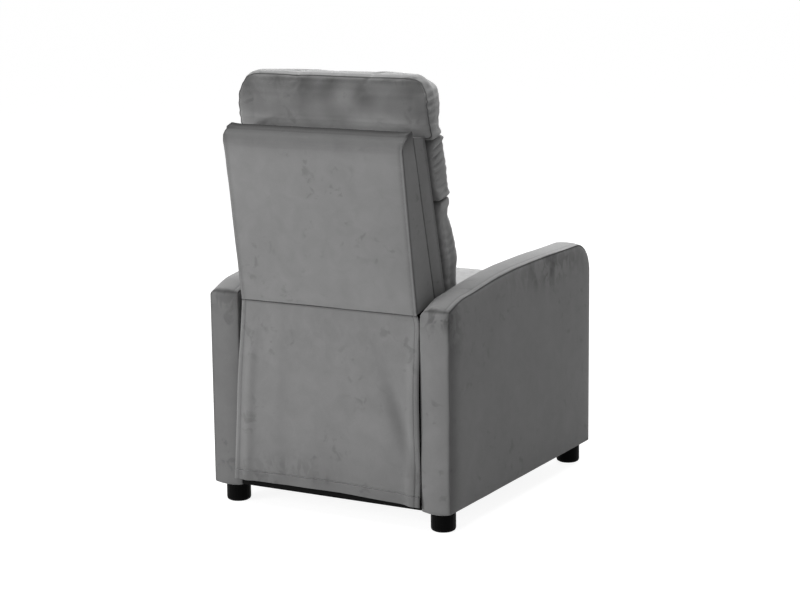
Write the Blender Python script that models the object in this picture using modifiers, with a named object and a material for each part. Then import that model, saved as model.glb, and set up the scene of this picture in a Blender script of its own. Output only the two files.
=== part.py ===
"""Compact push-back recliner armchair, in metres, Z up, facing -Y, origin on the floor under its middle."""

import math

import bmesh
import bpy
from mathutils import Matrix, Vector

# Overall sizes
OVERALL_WIDTH = 0.610
ARM_WIDTH = 0.070
ARM_LENGTH = 0.720
ARM_REAR_RISE = 0.445
ARM_PEAK_RISE = 0.495
ARM_REAR_SWELL = 0.006
ARM_CORNER_RADIUS = 0.075
FOOT_HEIGHT = 0.046
FOOT_DIAMETER = 0.056
FOOT_INSET = 0.036
FOOTREST_PROUD = 0.010

# Clearances
SEAT_GAP = 0.0003
PIN_CLEARANCE = 0.0005
SOFT_GAP = 0.001
LINK_CLEARANCE = 0.003
HEAD_GAP = 0.0004
COVER_GAP = 0.0004

# Arm construction
ARM_PANEL_THICKNESS = 0.018
ARM_INNER_WALL = 0.0045
ARM_END_WALL = 0.016
ARM_TOP_WALL = 0.030
FOOT_BLOCK = 0.056
FOOT_BLOCK_HEIGHT = 0.060
STUD_RADIUS = 0.004
STUD_LENGTH = 0.030
RAIL_HEIGHT = 0.025
RAIL_DEPTH = 0.025
REAR_RAIL_HEIGHT = 0.052
REAR_RAIL_LIFT = 0.002
REAR_RAIL_PROUD = 0.001
FRONT_RAIL_INSET = 0.084
RAIL_EDGE = 0.002
ARM_EDGE = 0.007
BLOCK_LAP = 0.004
BLOCK_REACH = 0.027
BLOCK_SETBACK = 0.002
STUD_TIP_GAP = 0.003
FOOT_EDGE = 0.006

# Linkage stock
LINK_THICKNESS = 0.003
LINK_GAP = 0.002
LINK_RADIUS = 0.010
PIN_RADIUS = 0.004
HEAD_RADIUS = 0.0065
HEAD_THICKNESS = 0.0012

# Seat carriage on four swing links
SWING_LENGTH = 0.085
SWING_LEAN = 20.0
RECLINE_ANGLE = 38.0
SEAT_PIVOT_RISE = 0.204
REAR_PIVOT_TO_HIP = 0.100
FRONT_PIVOT_BACK = 0.284
SEAT_FRAME_RISE = 0.2545
SEAT_FRAME_HEIGHT = 0.055
SEAT_RISE = 0.416
SEAT_BACK_GAP = 0.072
SEAT_TAIL = 0.085
SEAT_TAIL_DROP = 0.052
SPRING_COUNT = 3
SPRING_WIRE = 0.0019
SPRING_PITCH = 0.105
SPRING_SWAY = 0.024
SPRING_FRONT_LAP = 0.030
SPRING_REAR_LAP = 0.012
PLATE_MARGIN = 0.020
EAR_RADIUS = 0.016
FLANGE_INSET = 0.050
FRAME_INSET = 0.021
FRAME_RAIL_WIDTH = 0.028
FRAME_REAR_RAIL = 0.035
SIDE_RAIL_GAP = 0.0056
SIDE_RAIL_TO_HIP = 0.085
FRONT_RAIL_SETBACK = 0.003
FRONT_RAIL_CHAMFER = 0.016
FRONT_RAIL_LIP = 0.005
PAD_TOP_GAP = 0.0025
SEAT_SIDE_GAP = 0.004
SEAT_CROWN = 0.026
SEAT_CROWN_DROP = 0.022

# Back, raked about the hip axis
HIP_INSET = 0.1015
HIP_RISE = 0.314
BACK_RAKE = 14.0
BACK_SIDE_GAP = 0.0097
BACK_LOW = 0.141
BACK_HIGH = 0.525
BACK_FRONT = -0.017
BACK_REAR_LOW = 0.0667
BACK_REAR_HIGH = 0.0319
BACK_PANEL = 0.008
STILE_WIDTH = 0.030
STILE_FOOT = 0.018
STILE_STEP = 0.006
BOARD_EDGE = 0.0015
BACK_PAD_EDGE = 0.003
REAR_PANEL_EDGE = 0.004
BACK_RAIL_HEIGHT = 0.038
BACK_RAIL_LIFT = 0.004
TOP_SLOPE = 0.006
STRAP_THICKNESS = 0.0015
STRAP_WIDTH = 0.048
STRAP_PITCH = 0.075
STRAP_FIRST = 0.084
STRAP_END_GAP = 0.004
BRACKET_HIP_RADIUS = 0.018
BRACKET_PIN_RADIUS = 0.012
BRACKET_TOP_GAP = 0.012
BRACKET_EDGE = 0.003
FOAM_END_GAP = 0.005
FOAM_PROUD = 0.003
GUIDE_PIN_BACK = 0.020
GUIDE_PIN_DROP = 0.090
FOAM_DEPTH = 0.047
PILLOW_DEPTH = 0.098
HEAD_SIDE_PROUD = 0.010
HEAD_CROWN = 0.026
HEAD_LEAN = 0.022
HEAD_ROUND = 0.022
HEAD_OVERHANG = 0.012
HEAD_TAPER = 0.060
PILLOW_SIDE_GAP = 0.004
LUMBAR_CROWN = 0.034
UPPER_CROWN = 0.028
LUMBAR_LOW = 0.062
LUMBAR_HIGH = 0.345
UPPER_HIGH = 0.483
HEAD_HIGH = 0.632

# Footrest scissor linkage
DRIVE_PIVOT_BACK = 0.314
DRIVE_PIVOT_RISE = 0.194
DRIVE_LENGTH = 0.165
DRIVE_LEAN = 12.0
CARRY_SLOPE = 29.0
PIVOT_SPACING = 0.078
TILT_OFFSET = 0.040
FOOTREST_ANGLE = 88.0
PAD_THICKNESS = 0.055
BOARD_THICKNESS = 0.012
PAD_LOW_RISE = 0.024
PAD_HIGH_RISE = 0.289
PAD_SIDE_GAP = 0.007
PAD_CROWN = 0.018
BOARD_SIDE_GAP = 0.015
BOARD_END_GAP = 0.004
TUBE_RADIUS = 0.010
TUBE_DROP = 0.075
FLANGE_WIDTH = 0.028
FLANGE_RISE = 0.045
FLANGE_DROP = 0.020

# Rear flap
FLAP_THICKNESS = 0.0025
FLAP_SIDE_PROUD = 0.007
FLAP_TOP_SETBACK = 0.0025
FLAP_FOLD = 0.007
FLAP_CORNER_RISE = 0.010
FLAP_ARCH = 0.016

# Derived places
RAKE = math.radians(BACK_RAKE)
ARM_INNER = OVERALL_WIDTH / 2 - ARM_WIDTH
BACK_WIDTH = 2 * (ARM_INNER - BACK_SIDE_GAP)
HEAD_WIDTH = 2 * (ARM_INNER + HEAD_SIDE_PROUD)
PILLOW_WIDTH = 2 * (ARM_INNER - PILLOW_SIDE_GAP)
PAD_WIDTH = 2 * (ARM_INNER - PAD_SIDE_GAP)
BOARD_WIDTH = 2 * (ARM_INNER - BOARD_SIDE_GAP)
FLAP_LOW_HALF = ARM_INNER + FLAP_SIDE_PROUD
BACK_OVERHANG = BACK_REAR_HIGH * math.cos(RAKE) + BACK_HIGH * math.sin(RAKE) - HIP_INSET
DEPTH = FOOTREST_PROUD + ARM_LENGTH + BACK_OVERHANG
ARM_FRONT = FOOTREST_PROUD - DEPTH / 2
ARM_REAR = ARM_FRONT + ARM_LENGTH
FLOOR_GAP = FOOT_HEIGHT
HIP = (ARM_REAR - HIP_INSET, FLOOR_GAP + HIP_RISE)
GUIDE_PIN = (GUIDE_PIN_BACK, -GUIDE_PIN_DROP)
SEAT_FRAME_LOW = FLOOR_GAP + SEAT_FRAME_RISE
SEAT_FRAME_TOP = SEAT_FRAME_LOW + SEAT_FRAME_HEIGHT
PLATE_TURN = (math.pi / 2, 0.0, math.pi / 2)


def turned_point(point, angle):
    """A (y, z) offset turned about X so that its top goes to the rear and its foot to the front."""
    cosine = math.cos(math.radians(angle))
    sine = math.sin(math.radians(angle))
    return (point[0] * cosine + point[1] * sine, -point[0] * sine + point[1] * cosine)


def plus(a, b):
    return (a[0] + b[0], a[1] + b[1])


def minus(a, b):
    return (a[0] - b[0], a[1] - b[1])


def along(angle, length):
    """A (y, z) offset of this length, leaning this many degrees to the rear of straight up."""
    return turned_point((0.0, length), angle)


# Pivots of the seat carriage, as (y, z)
REAR_TOP = (HIP[0] - REAR_PIVOT_TO_HIP, FLOOR_GAP + SEAT_PIVOT_RISE)
FRONT_TOP = (ARM_FRONT + FRONT_PIVOT_BACK, FLOOR_GAP + SEAT_PIVOT_RISE)
REAR_LOW = minus(REAR_TOP, along(SWING_LEAN, SWING_LENGTH))
FRONT_LOW = minus(FRONT_TOP, along(SWING_LEAN, SWING_LENGTH))

# Pivots of the footrest linkage, as (y, z)
BOARD_BACK = ARM_FRONT - FOOTREST_PROUD + PAD_THICKNESS + BOARD_THICKNESS + SEAT_GAP
BRACKET_BACK = BOARD_BACK + SEAT_GAP + LINK_THICKNESS
HANG = along(180.0 - DRIVE_LEAN, 1.0)
SLOPE = (-math.cos(math.radians(CARRY_SLOPE)), math.sin(math.radians(CARRY_SLOPE)))
DRIVE_PIVOT = (ARM_FRONT + DRIVE_PIVOT_BACK, FLOOR_GAP + DRIVE_PIVOT_RISE)
SCISSOR_PIVOT = plus(DRIVE_PIVOT, (SLOPE[0] * PIVOT_SPACING, SLOPE[1] * PIVOT_SPACING))
CARRY_PIVOT = plus(DRIVE_PIVOT, (HANG[0] * DRIVE_LENGTH, HANG[1] * DRIVE_LENGTH))
CROSS_PIVOT = plus(SCISSOR_PIVOT, (HANG[0] * DRIVE_LENGTH, HANG[1] * DRIVE_LENGTH))
TILT_PIVOT = plus(CROSS_PIVOT, (HANG[0] * TILT_OFFSET, HANG[1] * TILT_OFFSET))
FOOTREST_Y = BRACKET_BACK + LINK_RADIUS + LINK_CLEARANCE
CARRY_LENGTH = (CARRY_PIVOT[0] - FOOTREST_Y) / -SLOPE[0]
FOOTREST_PIVOT = plus(CARRY_PIVOT, (SLOPE[0] * CARRY_LENGTH, SLOPE[1] * CARRY_LENGTH))
LOWER_PIVOT = plus(FOOTREST_PIVOT, (HANG[0] * TILT_OFFSET, HANG[1] * TILT_OFFSET))


def guide_path(angle):
    """Where the guide pin of the back stands, in (y, z), once the back has reclined by this angle."""
    seat = minus(along(SWING_LEAN - angle, SWING_LENGTH), along(SWING_LEAN, SWING_LENGTH))
    return plus(plus(HIP, seat), turned_point(GUIDE_PIN, angle))


def layer(number):
    """Middle of a plate in this layer, counted inwards from the arm."""
    return ARM_INNER - SEAT_GAP - LINK_THICKNESS / 2 - number * (LINK_THICKNESS + LINK_GAP)


# Scene and materials
for old in list(bpy.data.objects):
    bpy.data.objects.remove(old, do_unlink=True)
recliner = bpy.data.collections.new("recliner")
bpy.context.scene.collection.children.link(recliner)


def make_material(name, colour, roughness, metallic):
    material = bpy.data.materials.new(name)
    material.use_nodes = True
    shader = material.node_tree.nodes["Principled BSDF"]
    shader.inputs["Base Color"].default_value = (*colour, 1.0)
    shader.inputs["Roughness"].default_value = roughness
    shader.inputs["Metallic"].default_value = metallic
    material.diffuse_color = (*colour, 1.0)
    return material


VELVET = make_material("velvet", (0.16, 0.16, 0.16), 0.85, 0.0)
WOOD = make_material("wood", (0.50, 0.36, 0.22), 0.70, 0.0)
BLACK = make_material("black_plastic", (0.008, 0.008, 0.009), 0.45, 0.0)
PAINTED = make_material("black_paint", (0.010, 0.010, 0.011), 0.50, 0.0)
STEEL = make_material("plated_steel", (0.55, 0.55, 0.56), 0.35, 1.0)
WEBBING = make_material("webbing", (0.05, 0.05, 0.06), 0.90, 0.0)


def make_pivot(name, place, tilt=0.0):
    """An empty on a joint's axis, at this (y, z)."""
    empty = bpy.data.objects.new(name, None)
    empty.empty_display_size = 0.03
    empty.location = (0.0, place[0], place[1])
    empty.rotation_euler = (tilt, 0.0, 0.0)
    recliner.objects.link(empty)
    return empty


def add_part(name, mesh, material, parent=None, location=(0.0, 0.0, 0.0), rotation=(0.0, 0.0, 0.0)):
    mesh.name = name
    mesh.materials.clear()
    mesh.materials.append(material)
    part = bpy.data.objects.new(name, mesh)
    part.location = location
    part.rotation_euler = rotation
    part.parent = parent
    recliner.objects.link(part)
    return part


def soften(part, width, segments=2):
    bevel = part.modifiers.new("bevel", "BEVEL")
    bevel.width = width
    bevel.segments = segments
    bevel.limit_method = "ANGLE"
    bevel.angle_limit = math.radians(40)
    return part


def smooth(part):
    for face in part.data.polygons:
        face.use_smooth = True
    return part


# Mesh building blocks
def weld(mesh):
    shape = bmesh.new()
    shape.from_mesh(mesh)
    bmesh.ops.remove_doubles(shape, verts=shape.verts, dist=1e-6)
    bmesh.ops.recalc_face_normals(shape, faces=shape.faces)
    shape.to_mesh(mesh)
    shape.free()
    return mesh


def finished_mesh(obj):
    """The mesh of a working object with its modifiers applied, after which the working object goes."""
    bpy.context.scene.collection.objects.link(obj)
    graph = bpy.context.evaluated_depsgraph_get()
    mesh = bpy.data.meshes.new_from_object(obj.evaluated_get(graph))
    bpy.data.objects.remove(obj)
    return weld(mesh)


def flat_mesh(outline, holes, thickness):
    """A flat outline with holes, given this thickness about its own plane."""
    curve = bpy.data.curves.new("outline", "CURVE")
    curve.dimensions = "2D"
    curve.fill_mode = "BOTH"
    curve.extrude = thickness / 2
    for loop in [outline] + holes:
        spline = curve.splines.new("POLY")
        spline.points.add(len(loop) - 1)
        for point, (a, b) in zip(spline.points, loop):
            point.co = (a, b, 0.0, 1.0)
        spline.use_cyclic_u = True
    return finished_mesh(bpy.data.objects.new("outline", curve))


def box_mesh(low, high):
    size = [b - a for a, b in zip(low, high)]
    middle = [(a + b) / 2 for a, b in zip(low, high)]
    shape = bmesh.new()
    bmesh.ops.create_cube(shape, matrix=Matrix.Translation(middle) @ Matrix.Diagonal((*size, 1.0)))
    mesh = bpy.data.meshes.new("box")
    shape.to_mesh(mesh)
    shape.free()
    return mesh


def post_mesh(place, low, high, radius, segments=10):
    """A round post at this place of a plate's plane, standing from low to high across the plate."""
    shape = bmesh.new()
    middle = Matrix.Translation((place[0], place[1], (low + high) / 2))
    bmesh.ops.create_cone(
        shape, cap_ends=True, segments=segments, radius1=radius, radius2=radius, depth=abs(high - low), matrix=middle
    )
    mesh = bpy.data.meshes.new("post")
    shape.to_mesh(mesh)
    shape.free()
    return mesh


def combine(first, second, operation):
    body = bpy.data.objects.new("body", first)
    tool = bpy.data.objects.new("tool", second)
    bpy.context.scene.collection.objects.link(tool)
    step = body.modifiers.new("combine", "BOOLEAN")
    step.operation = operation
    step.solver = "EXACT"
    step.object = tool
    mesh = finished_mesh(body)
    bpy.data.objects.remove(tool)
    return mesh


def turned_mesh(profile, steps):
    """A (radius, height) profile, from the top down, turned about Z."""
    mesh = bpy.data.meshes.new("profile")
    points = [(radius, 0.0, height) for radius, height in profile]
    mesh.from_pydata(points, [(i, i + 1) for i in range(len(points) - 1)], [])
    work = bpy.data.objects.new("profile", mesh)
    screw = work.modifiers.new("screw", "SCREW")
    screw.steps = steps
    screw.render_steps = steps
    screw.use_merge_vertices = True
    screw.merge_threshold = 0.00001
    return finished_mesh(work)


def circle(place, radius, count=10):
    turns = [2 * math.pi * i / count for i in range(count)]
    return [(place[0] + radius * math.cos(a), place[1] + radius * math.sin(a)) for a in turns]


def hull(points):
    """The convex outline around a set of (y, z) points."""
    ordered = sorted(set(points))
    chains = []
    for run in (ordered, ordered[::-1]):
        chain = []
        for point in run:
            while len(chain) > 1:
                a = minus(chain[-1], chain[-2])
                b = minus(point, chain[-1])
                if a[0] * b[1] - a[1] * b[0] > 1e-12:
                    break
                chain.pop()
            chain.append(point)
        chains.append(chain[:-1])
    return chains[0] + chains[1]


def bar_outline(ends, radius=LINK_RADIUS, count=16):
    return hull([point for end in ends for point in circle(end, radius, count)])


def rivet(mesh, place, side, spans, headed=True):
    """Fuses on a rivet that reaches across to the plate this many layers away, inwards if negative."""
    way = math.copysign(1.0, side * spans)
    reach = abs(spans) * (LINK_THICKNESS + LINK_GAP) + LINK_THICKNESS / 2
    tip = reach + HEAD_GAP + HEAD_THICKNESS / 2 if headed else reach - SEAT_GAP
    ends = sorted((0.0, way * tip))
    mesh = combine(mesh, post_mesh(place, ends[0], ends[1], PIN_RADIUS), "UNION")
    if not headed:
        return mesh
    ends = sorted((way * (reach + HEAD_GAP), way * (reach + HEAD_GAP + HEAD_THICKNESS)))
    return combine(mesh, post_mesh(place, ends[0], ends[1], HEAD_RADIUS), "UNION")


def add_link(name, pivot, origin, side, number, ends, holes, rivets):
    """A flat link: its ends, holes and rivets are (y, z) places, and it hangs on the empty at its origin."""
    hole_radius = PIN_RADIUS + PIN_CLEARANCE
    outline = bar_outline([minus(end, origin) for end in ends])
    mesh = flat_mesh(outline, [circle(minus(hole, origin), hole_radius) for hole in holes], LINK_THICKNESS)
    for place, spans in rivets:
        mesh = rivet(mesh, minus(place, origin), side, spans, number - spans > 0)
    return add_part(name, mesh, STEEL, pivot, (side * layer(number), 0.0, 0.0), PLATE_TURN)


def grid_box(cells):
    """A box from -1 to 1 each way, cut into this many cells along X, Y and Z."""
    shape = bmesh.new()
    bmesh.ops.create_cube(shape, size=2.0)
    for axis, count in enumerate(cells):
        edges = [e for e in shape.edges if abs((e.verts[0].co - e.verts[1].co)[axis]) > 1e-6]
        bmesh.ops.subdivide_edges(shape, edges=edges, cuts=count - 1, use_grid_fill=True)
    return shape


def spread(value, power=1.7):
    """Moves the cuts of a grid towards its borders."""
    return math.copysign(1.0 - (1.0 - abs(value)) ** power, value)


def add_cushion(name, cells, form, material, parent=None):
    """A soft form: a coarse cage, shaped by form(x, y, z) from -1 to 1 each way, then smoothed."""
    shape = grid_box(cells)
    for vert in shape.verts:
        vert.co = form(*[spread(value) for value in vert.co])
    mesh = bpy.data.meshes.new(name)
    shape.to_mesh(mesh)
    shape.free()
    part = smooth(add_part(name, mesh, material, parent))
    rounding = part.modifiers.new("rounding", "SUBSURF")
    rounding.levels = 1
    rounding.render_levels = 1
    return part


SIDES = (("left", 1.0), ("right", -1.0))


# Arms: a board with two foot blocks inside a padded cover
def arm_top(y, inset):
    """Height of the arm's top: a long arc that climbs fastest near the rear."""
    peak_y = ARM_FRONT + ARM_CORNER_RADIUS
    share = (ARM_REAR - y) / (ARM_REAR - peak_y)
    rise = (ARM_PEAK_RISE - ARM_REAR_RISE) * (1.0 - max(0.0, 1.0 - share * 1.12) ** 3.2)
    rise += ARM_REAR_SWELL * math.exp(-((share - 0.088) / 0.055) ** 2)
    return FLOOR_GAP + ARM_REAR_RISE + rise - inset


def arm_outline(end_inset, top_inset, low):
    """The arm's side outline as (y, z), drawn in by these amounts."""
    radius = ARM_CORNER_RADIUS - end_inset
    front = ARM_FRONT + end_inset
    rear = ARM_REAR - end_inset
    outline = [(front, low), (rear, low)]
    middle = front + radius
    count = 14
    for i in range(count + 1):
        y = rear + (middle - rear) * (i / count) ** 1.5
        outline.append((y, arm_top(y, top_inset)))
    top = arm_top(middle, top_inset)
    for i in range(1, 8):
        turn = math.radians(90.0 * i / 7)
        outline.append((middle - radius * math.sin(turn), top - radius + radius * math.cos(turn)))
    return outline


def arm_core(side, grow):
    """The arm's board and foot blocks, grown by a clearance, in the plane of the board."""
    inner = ARM_INNER + ARM_INNER_WALL
    low = FLOOR_GAP + SEAT_GAP - (BLOCK_REACH if grow else 0.0)
    board = flat_mesh(
        arm_outline(ARM_END_WALL - grow, ARM_TOP_WALL - grow, low), [], ARM_PANEL_THICKNESS + 2 * grow
    )
    middle = inner + ARM_PANEL_THICKNESS / 2
    for start in (ARM_FRONT + ARM_END_WALL, ARM_REAR - ARM_END_WALL - FOOT_BLOCK):
        near = ARM_PANEL_THICKNESS / 2 - BLOCK_LAP
        far = ARM_PANEL_THICKNESS / 2 + BLOCK_REACH + grow
        block = box_mesh(
            (start + BLOCK_SETBACK - grow, low - SEAT_GAP * bool(grow), min(side * near, side * far)),
            (start + FOOT_BLOCK + grow, FLOOR_GAP + FOOT_BLOCK_HEIGHT + grow, max(side * near, side * far)),
        )
        board = combine(board, block, "UNION")
    return board, side * middle


def foot_places(side):
    x = side * (OVERALL_WIDTH / 2 - FOOT_INSET)
    return (("front", x, ARM_FRONT + FOOT_INSET), ("rear", x, ARM_REAR - FOOT_INSET))


for label, side in SIDES:
    core, core_x = arm_core(side, 0.0)
    for end, x, y in foot_places(side):
        shaft = turned_mesh(
            [(0.0, STUD_LENGTH), (STUD_RADIUS + PIN_CLEARANCE, STUD_LENGTH),
             (STUD_RADIUS + PIN_CLEARANCE, -STUD_LENGTH), (0.0, -STUD_LENGTH)], 12
        )
        shaft.transform(Matrix.Translation((x, y, FLOOR_GAP)))
        shaft.transform((Matrix.Translation((core_x, 0.0, 0.0)) @ Matrix.Rotation(math.pi / 2, 4, "Z")
                         @ Matrix.Rotation(math.pi / 2, 4, "X")).inverted())
        core = combine(core, shaft, "DIFFERENCE")
    add_part(label + "_arm_frame", core, WOOD, None, (core_x, 0.0, 0.0), PLATE_TURN)

    cover_x = side * (OVERALL_WIDTH / 2 - ARM_WIDTH / 2)
    cover = flat_mesh(arm_outline(0.0, 0.0, FLOOR_GAP), [], ARM_WIDTH)
    padding = soften(bpy.data.objects.new("padding", cover), ARM_EDGE)
    cover = finished_mesh(padding)
    cavity, cavity_x = arm_core(side, COVER_GAP)
    cavity.transform(Matrix.Translation((0.0, 0.0, cavity_x - cover_x)))
    cover = combine(cover, cavity, "DIFFERENCE")
    add_part(label + "_arm_cover", cover, VELVET, None, (cover_x, 0.0, 0.0), PLATE_TURN)

# Feet: turned plastic with a moulded stud
foot_radius = FOOT_DIAMETER / 2
foot_profile = [
    (0.0, FOOT_HEIGHT + STUD_LENGTH - STUD_TIP_GAP),
    (STUD_RADIUS, FOOT_HEIGHT + STUD_LENGTH - STUD_TIP_GAP),
    (STUD_RADIUS, FOOT_HEIGHT - SEAT_GAP),
    (foot_radius, FOOT_HEIGHT - SEAT_GAP),
    (foot_radius, FOOT_EDGE),
    (foot_radius - FOOT_EDGE * 0.25, FOOT_EDGE * 0.37),
    (foot_radius - FOOT_EDGE * 0.83, 0.0),
    (0.0, 0.0),
]
for label, side in SIDES:
    for end, x, y in foot_places(side):
        foot = add_part("foot_" + end + "_" + label, turned_mesh(foot_profile, 24), BLACK, None, (x, y, 0.0))
        smooth(foot)
        foot.data.set_sharp_from_angle(angle=math.radians(40))

# Cross rails between the arms
rail_half = ARM_INNER - SEAT_GAP
front_rail_y = ARM_FRONT + FRONT_RAIL_INSET
front_rail = box_mesh(
    (-rail_half, front_rail_y, FLOOR_GAP), (rail_half, front_rail_y + RAIL_DEPTH, FLOOR_GAP + RAIL_HEIGHT)
)
soften(add_part("front_rail", front_rail, PAINTED), RAIL_EDGE)
REAR_RAIL_FACE = ARM_REAR + REAR_RAIL_PROUD
rear_rail = box_mesh(
    (-rail_half, REAR_RAIL_FACE - RAIL_DEPTH, FLOOR_GAP + REAR_RAIL_LIFT),
    (rail_half, REAR_RAIL_FACE, FLOOR_GAP + REAR_RAIL_LIFT + REAR_RAIL_HEIGHT),
)
soften(add_part("rear_rail", rear_rail, PAINTED), RAIL_EDGE)

# Base plates, each with a slot that guides the back's pin
slot_radius = PIN_RADIUS + 1.4 * PIN_CLEARANCE
slot_path = [guide_path(RECLINE_ANGLE * i / 8) for i in range(9)]
bulge = [minus(slot_path[8], slot_path[0])]
slot_turn = math.atan2(bulge[0][1], bulge[0][0])
slot_loop = []
for shift, run in ((1.0, slot_path), (-1.0, slot_path[::-1])):
    normal = (-math.sin(slot_turn) * shift * slot_radius, math.cos(slot_turn) * shift * slot_radius)
    slot_loop += [plus(point, normal) for point in run]
    tip = run[-1]
    for i in (1, 2, 3):
        turn = slot_turn + (math.pi / 2 if shift > 0 else -math.pi / 2) - math.pi * i / 4
        slot_loop.append((tip[0] + slot_radius * math.cos(turn), tip[1] + slot_radius * math.sin(turn)))
base_low = REAR_LOW[1] - PLATE_MARGIN
base_outline = [
    (FRONT_LOW[0] - PLATE_MARGIN, base_low),
    (slot_path[0][0] + PLATE_MARGIN, base_low),
    (slot_path[0][0] + PLATE_MARGIN, slot_path[8][1] + PLATE_MARGIN),
    (slot_path[8][0] - PLATE_MARGIN, slot_path[8][1] + PLATE_MARGIN),
    (slot_path[8][0] - 1.8 * PLATE_MARGIN, base_low + 2 * PLATE_MARGIN),
    (FRONT_LOW[0] - PLATE_MARGIN, base_low + 2 * PLATE_MARGIN),
]
for label, side in SIDES:
    holes = [circle(REAR_LOW, PIN_RADIUS + PIN_CLEARANCE), circle(FRONT_LOW, PIN_RADIUS + PIN_CLEARANCE), slot_loop]
    plate = flat_mesh(base_outline, holes, LINK_THICKNESS)
    add_part(label + "_base_plate", plate, PAINTED, None, (side * layer(0), 0.0, 0.0), PLATE_TURN)

# Swing links that carry the seat
rear_swing = make_pivot("rear_swing_axis", REAR_LOW)
front_swing = make_pivot("front_swing_axis", FRONT_LOW)
seat_axis = make_pivot("seat_axis", REAR_TOP)
for label, side in SIDES:
    for end, pivot, low, top in (("rear", rear_swing, REAR_LOW, REAR_TOP), ("front", front_swing, FRONT_LOW, FRONT_TOP)):
        add_link(label + "_" + end + "_swing_link", pivot, low, side, 1, (low, top), [], [(low, 1), (top, -1)])

# Seat plates, with a flange under the seat frame and an ear for the back
plate_low = DRIVE_PIVOT[1] - 0.7 * PLATE_MARGIN
plate_top = SEAT_FRAME_LOW - SEAT_GAP
plate_front = SCISSOR_PIVOT[0] - PLATE_MARGIN
ear = circle(HIP, EAR_RADIUS, 16)
seat_outline = [
    (plate_front, plate_low),
    (REAR_TOP[0] + 0.9 * PLATE_MARGIN, plate_low),
    (REAR_TOP[0] + 1.1 * PLATE_MARGIN, plate_low + 1.8 * PLATE_MARGIN),
    ear[14],
    ear[15],
    ear[0],
    ear[1],
    ear[2],
    ear[3],
    ear[4],
    ear[5],
    ear[6],
    (REAR_TOP[0] - 1.25 * PLATE_MARGIN, plate_top),
    (plate_front, plate_top),
]
flange_half = ARM_INNER - FLANGE_INSET
for label, side in SIDES:
    radius = PIN_RADIUS + PIN_CLEARANCE
    holes = [circle(minus(p, REAR_TOP), radius) for p in (REAR_TOP, FRONT_TOP, DRIVE_PIVOT, SCISSOR_PIVOT, HIP)]
    plate = flat_mesh([minus(p, REAR_TOP) for p in seat_outline], holes, LINK_THICKNESS)
    reach = side * (flange_half - layer(2))
    flange = box_mesh(
        (plate_front - REAR_TOP[0], plate_top - LINK_THICKNESS - REAR_TOP[1], min(0.0, reach)),
        (-1.5 * PLATE_MARGIN, plate_top - REAR_TOP[1], max(0.0, reach)),
    )
    plate = combine(plate, flange, "UNION")
    add_part(label + "_seat_plate", plate, STEEL, seat_axis, (side * layer(2), 0.0, 0.0), PLATE_TURN)


def add_seat_box(name, low, high, material, bevel):
    """A box of the seat, given in world places and hung on the seat's axis."""
    offset = (0.0, REAR_TOP[0], REAR_TOP[1])
    mesh = box_mesh([a - b for a, b in zip(low, offset)], [a - b for a, b in zip(high, offset)])
    return soften(add_part(name, mesh, material, seat_axis), bevel, 1)


# Seat frame, springs and cushion
frame_half = ARM_INNER - FRAME_INSET
frame_inner = frame_half - FRAME_RAIL_WIDTH
side_front = BRACKET_BACK + SIDE_RAIL_GAP
side_rear = HIP[0] - SIDE_RAIL_TO_HIP
rail_low = FLOOR_GAP + PAD_HIGH_RISE + PAD_TOP_GAP
for label, side in SIDES:
    xs = sorted((side * frame_half, side * frame_inner))
    add_seat_box(
        "seat_" + label + "_rail",
        (xs[0], side_front, SEAT_FRAME_LOW),
        (xs[1], side_rear, SEAT_FRAME_TOP),
        WOOD,
        RAIL_EDGE,
    )
rail_front = ARM_FRONT + FRONT_RAIL_SETBACK
rail_rear = side_front - SEAT_GAP
front_profile = [
    (rail_front, SEAT_FRAME_TOP - FRONT_RAIL_LIP),
    (rail_front + FRONT_RAIL_CHAMFER, rail_low + 0.2 * FRONT_RAIL_LIP),
    (rail_front + 1.25 * FRONT_RAIL_CHAMFER, rail_low),
    (rail_rear, rail_low),
    (rail_rear, SEAT_FRAME_TOP),
    (rail_front, SEAT_FRAME_TOP),
]
front_mesh = flat_mesh([minus(point, REAR_TOP) for point in front_profile], [], 2 * (ARM_INNER - SEAT_SIDE_GAP))
add_part("seat_front_rail", front_mesh, VELVET, seat_axis, (0.0, 0.0, 0.0), PLATE_TURN)
add_seat_box(
    "seat_rear_rail",
    (-frame_inner + SEAT_GAP, side_rear - FRAME_REAR_RAIL, SEAT_FRAME_LOW),
    (frame_inner - SEAT_GAP, side_rear, SEAT_FRAME_TOP),
    WOOD,
    RAIL_EDGE,
)
spring_front = side_front - SPRING_FRONT_LAP
spring_rear = side_rear - SPRING_REAR_LAP
for number in range(SPRING_COUNT):
    curve = bpy.data.curves.new("spring", "CURVE")
    curve.dimensions = "3D"
    curve.bevel_depth = SPRING_WIRE
    curve.bevel_resolution = 0
    curve.use_fill_caps = True
    spline = curve.splines.new("POLY")
    bends = 12
    steps = bends * 4
    spline.points.add(steps)
    middle = (number - (SPRING_COUNT - 1) / 2) * SPRING_PITCH
    for i, point in enumerate(spline.points):
        share = i / steps
        sway = SPRING_SWAY * max(-0.8, min(0.8, 1.15 * math.sin(math.pi * bends * share)))
        length = spring_front + (spring_rear - spring_front) * share
        height = SEAT_FRAME_TOP + SEAT_GAP + SPRING_WIRE
        point.co = (middle + sway, length - REAR_TOP[0], height - REAR_TOP[1], 1.0)
    spring = finished_mesh(bpy.data.objects.new("spring", curve))
    smooth(add_part("seat_spring_%d" % (number + 1), spring, STEEL, seat_axis))

seat_low = SEAT_FRAME_TOP + 2 * SEAT_GAP + 2 * SPRING_WIRE
seat_top = FLOOR_GAP + SEAT_RISE
seat_rear = HIP[0] - SEAT_BACK_GAP
seat_half = ARM_INNER - SEAT_SIDE_GAP


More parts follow.
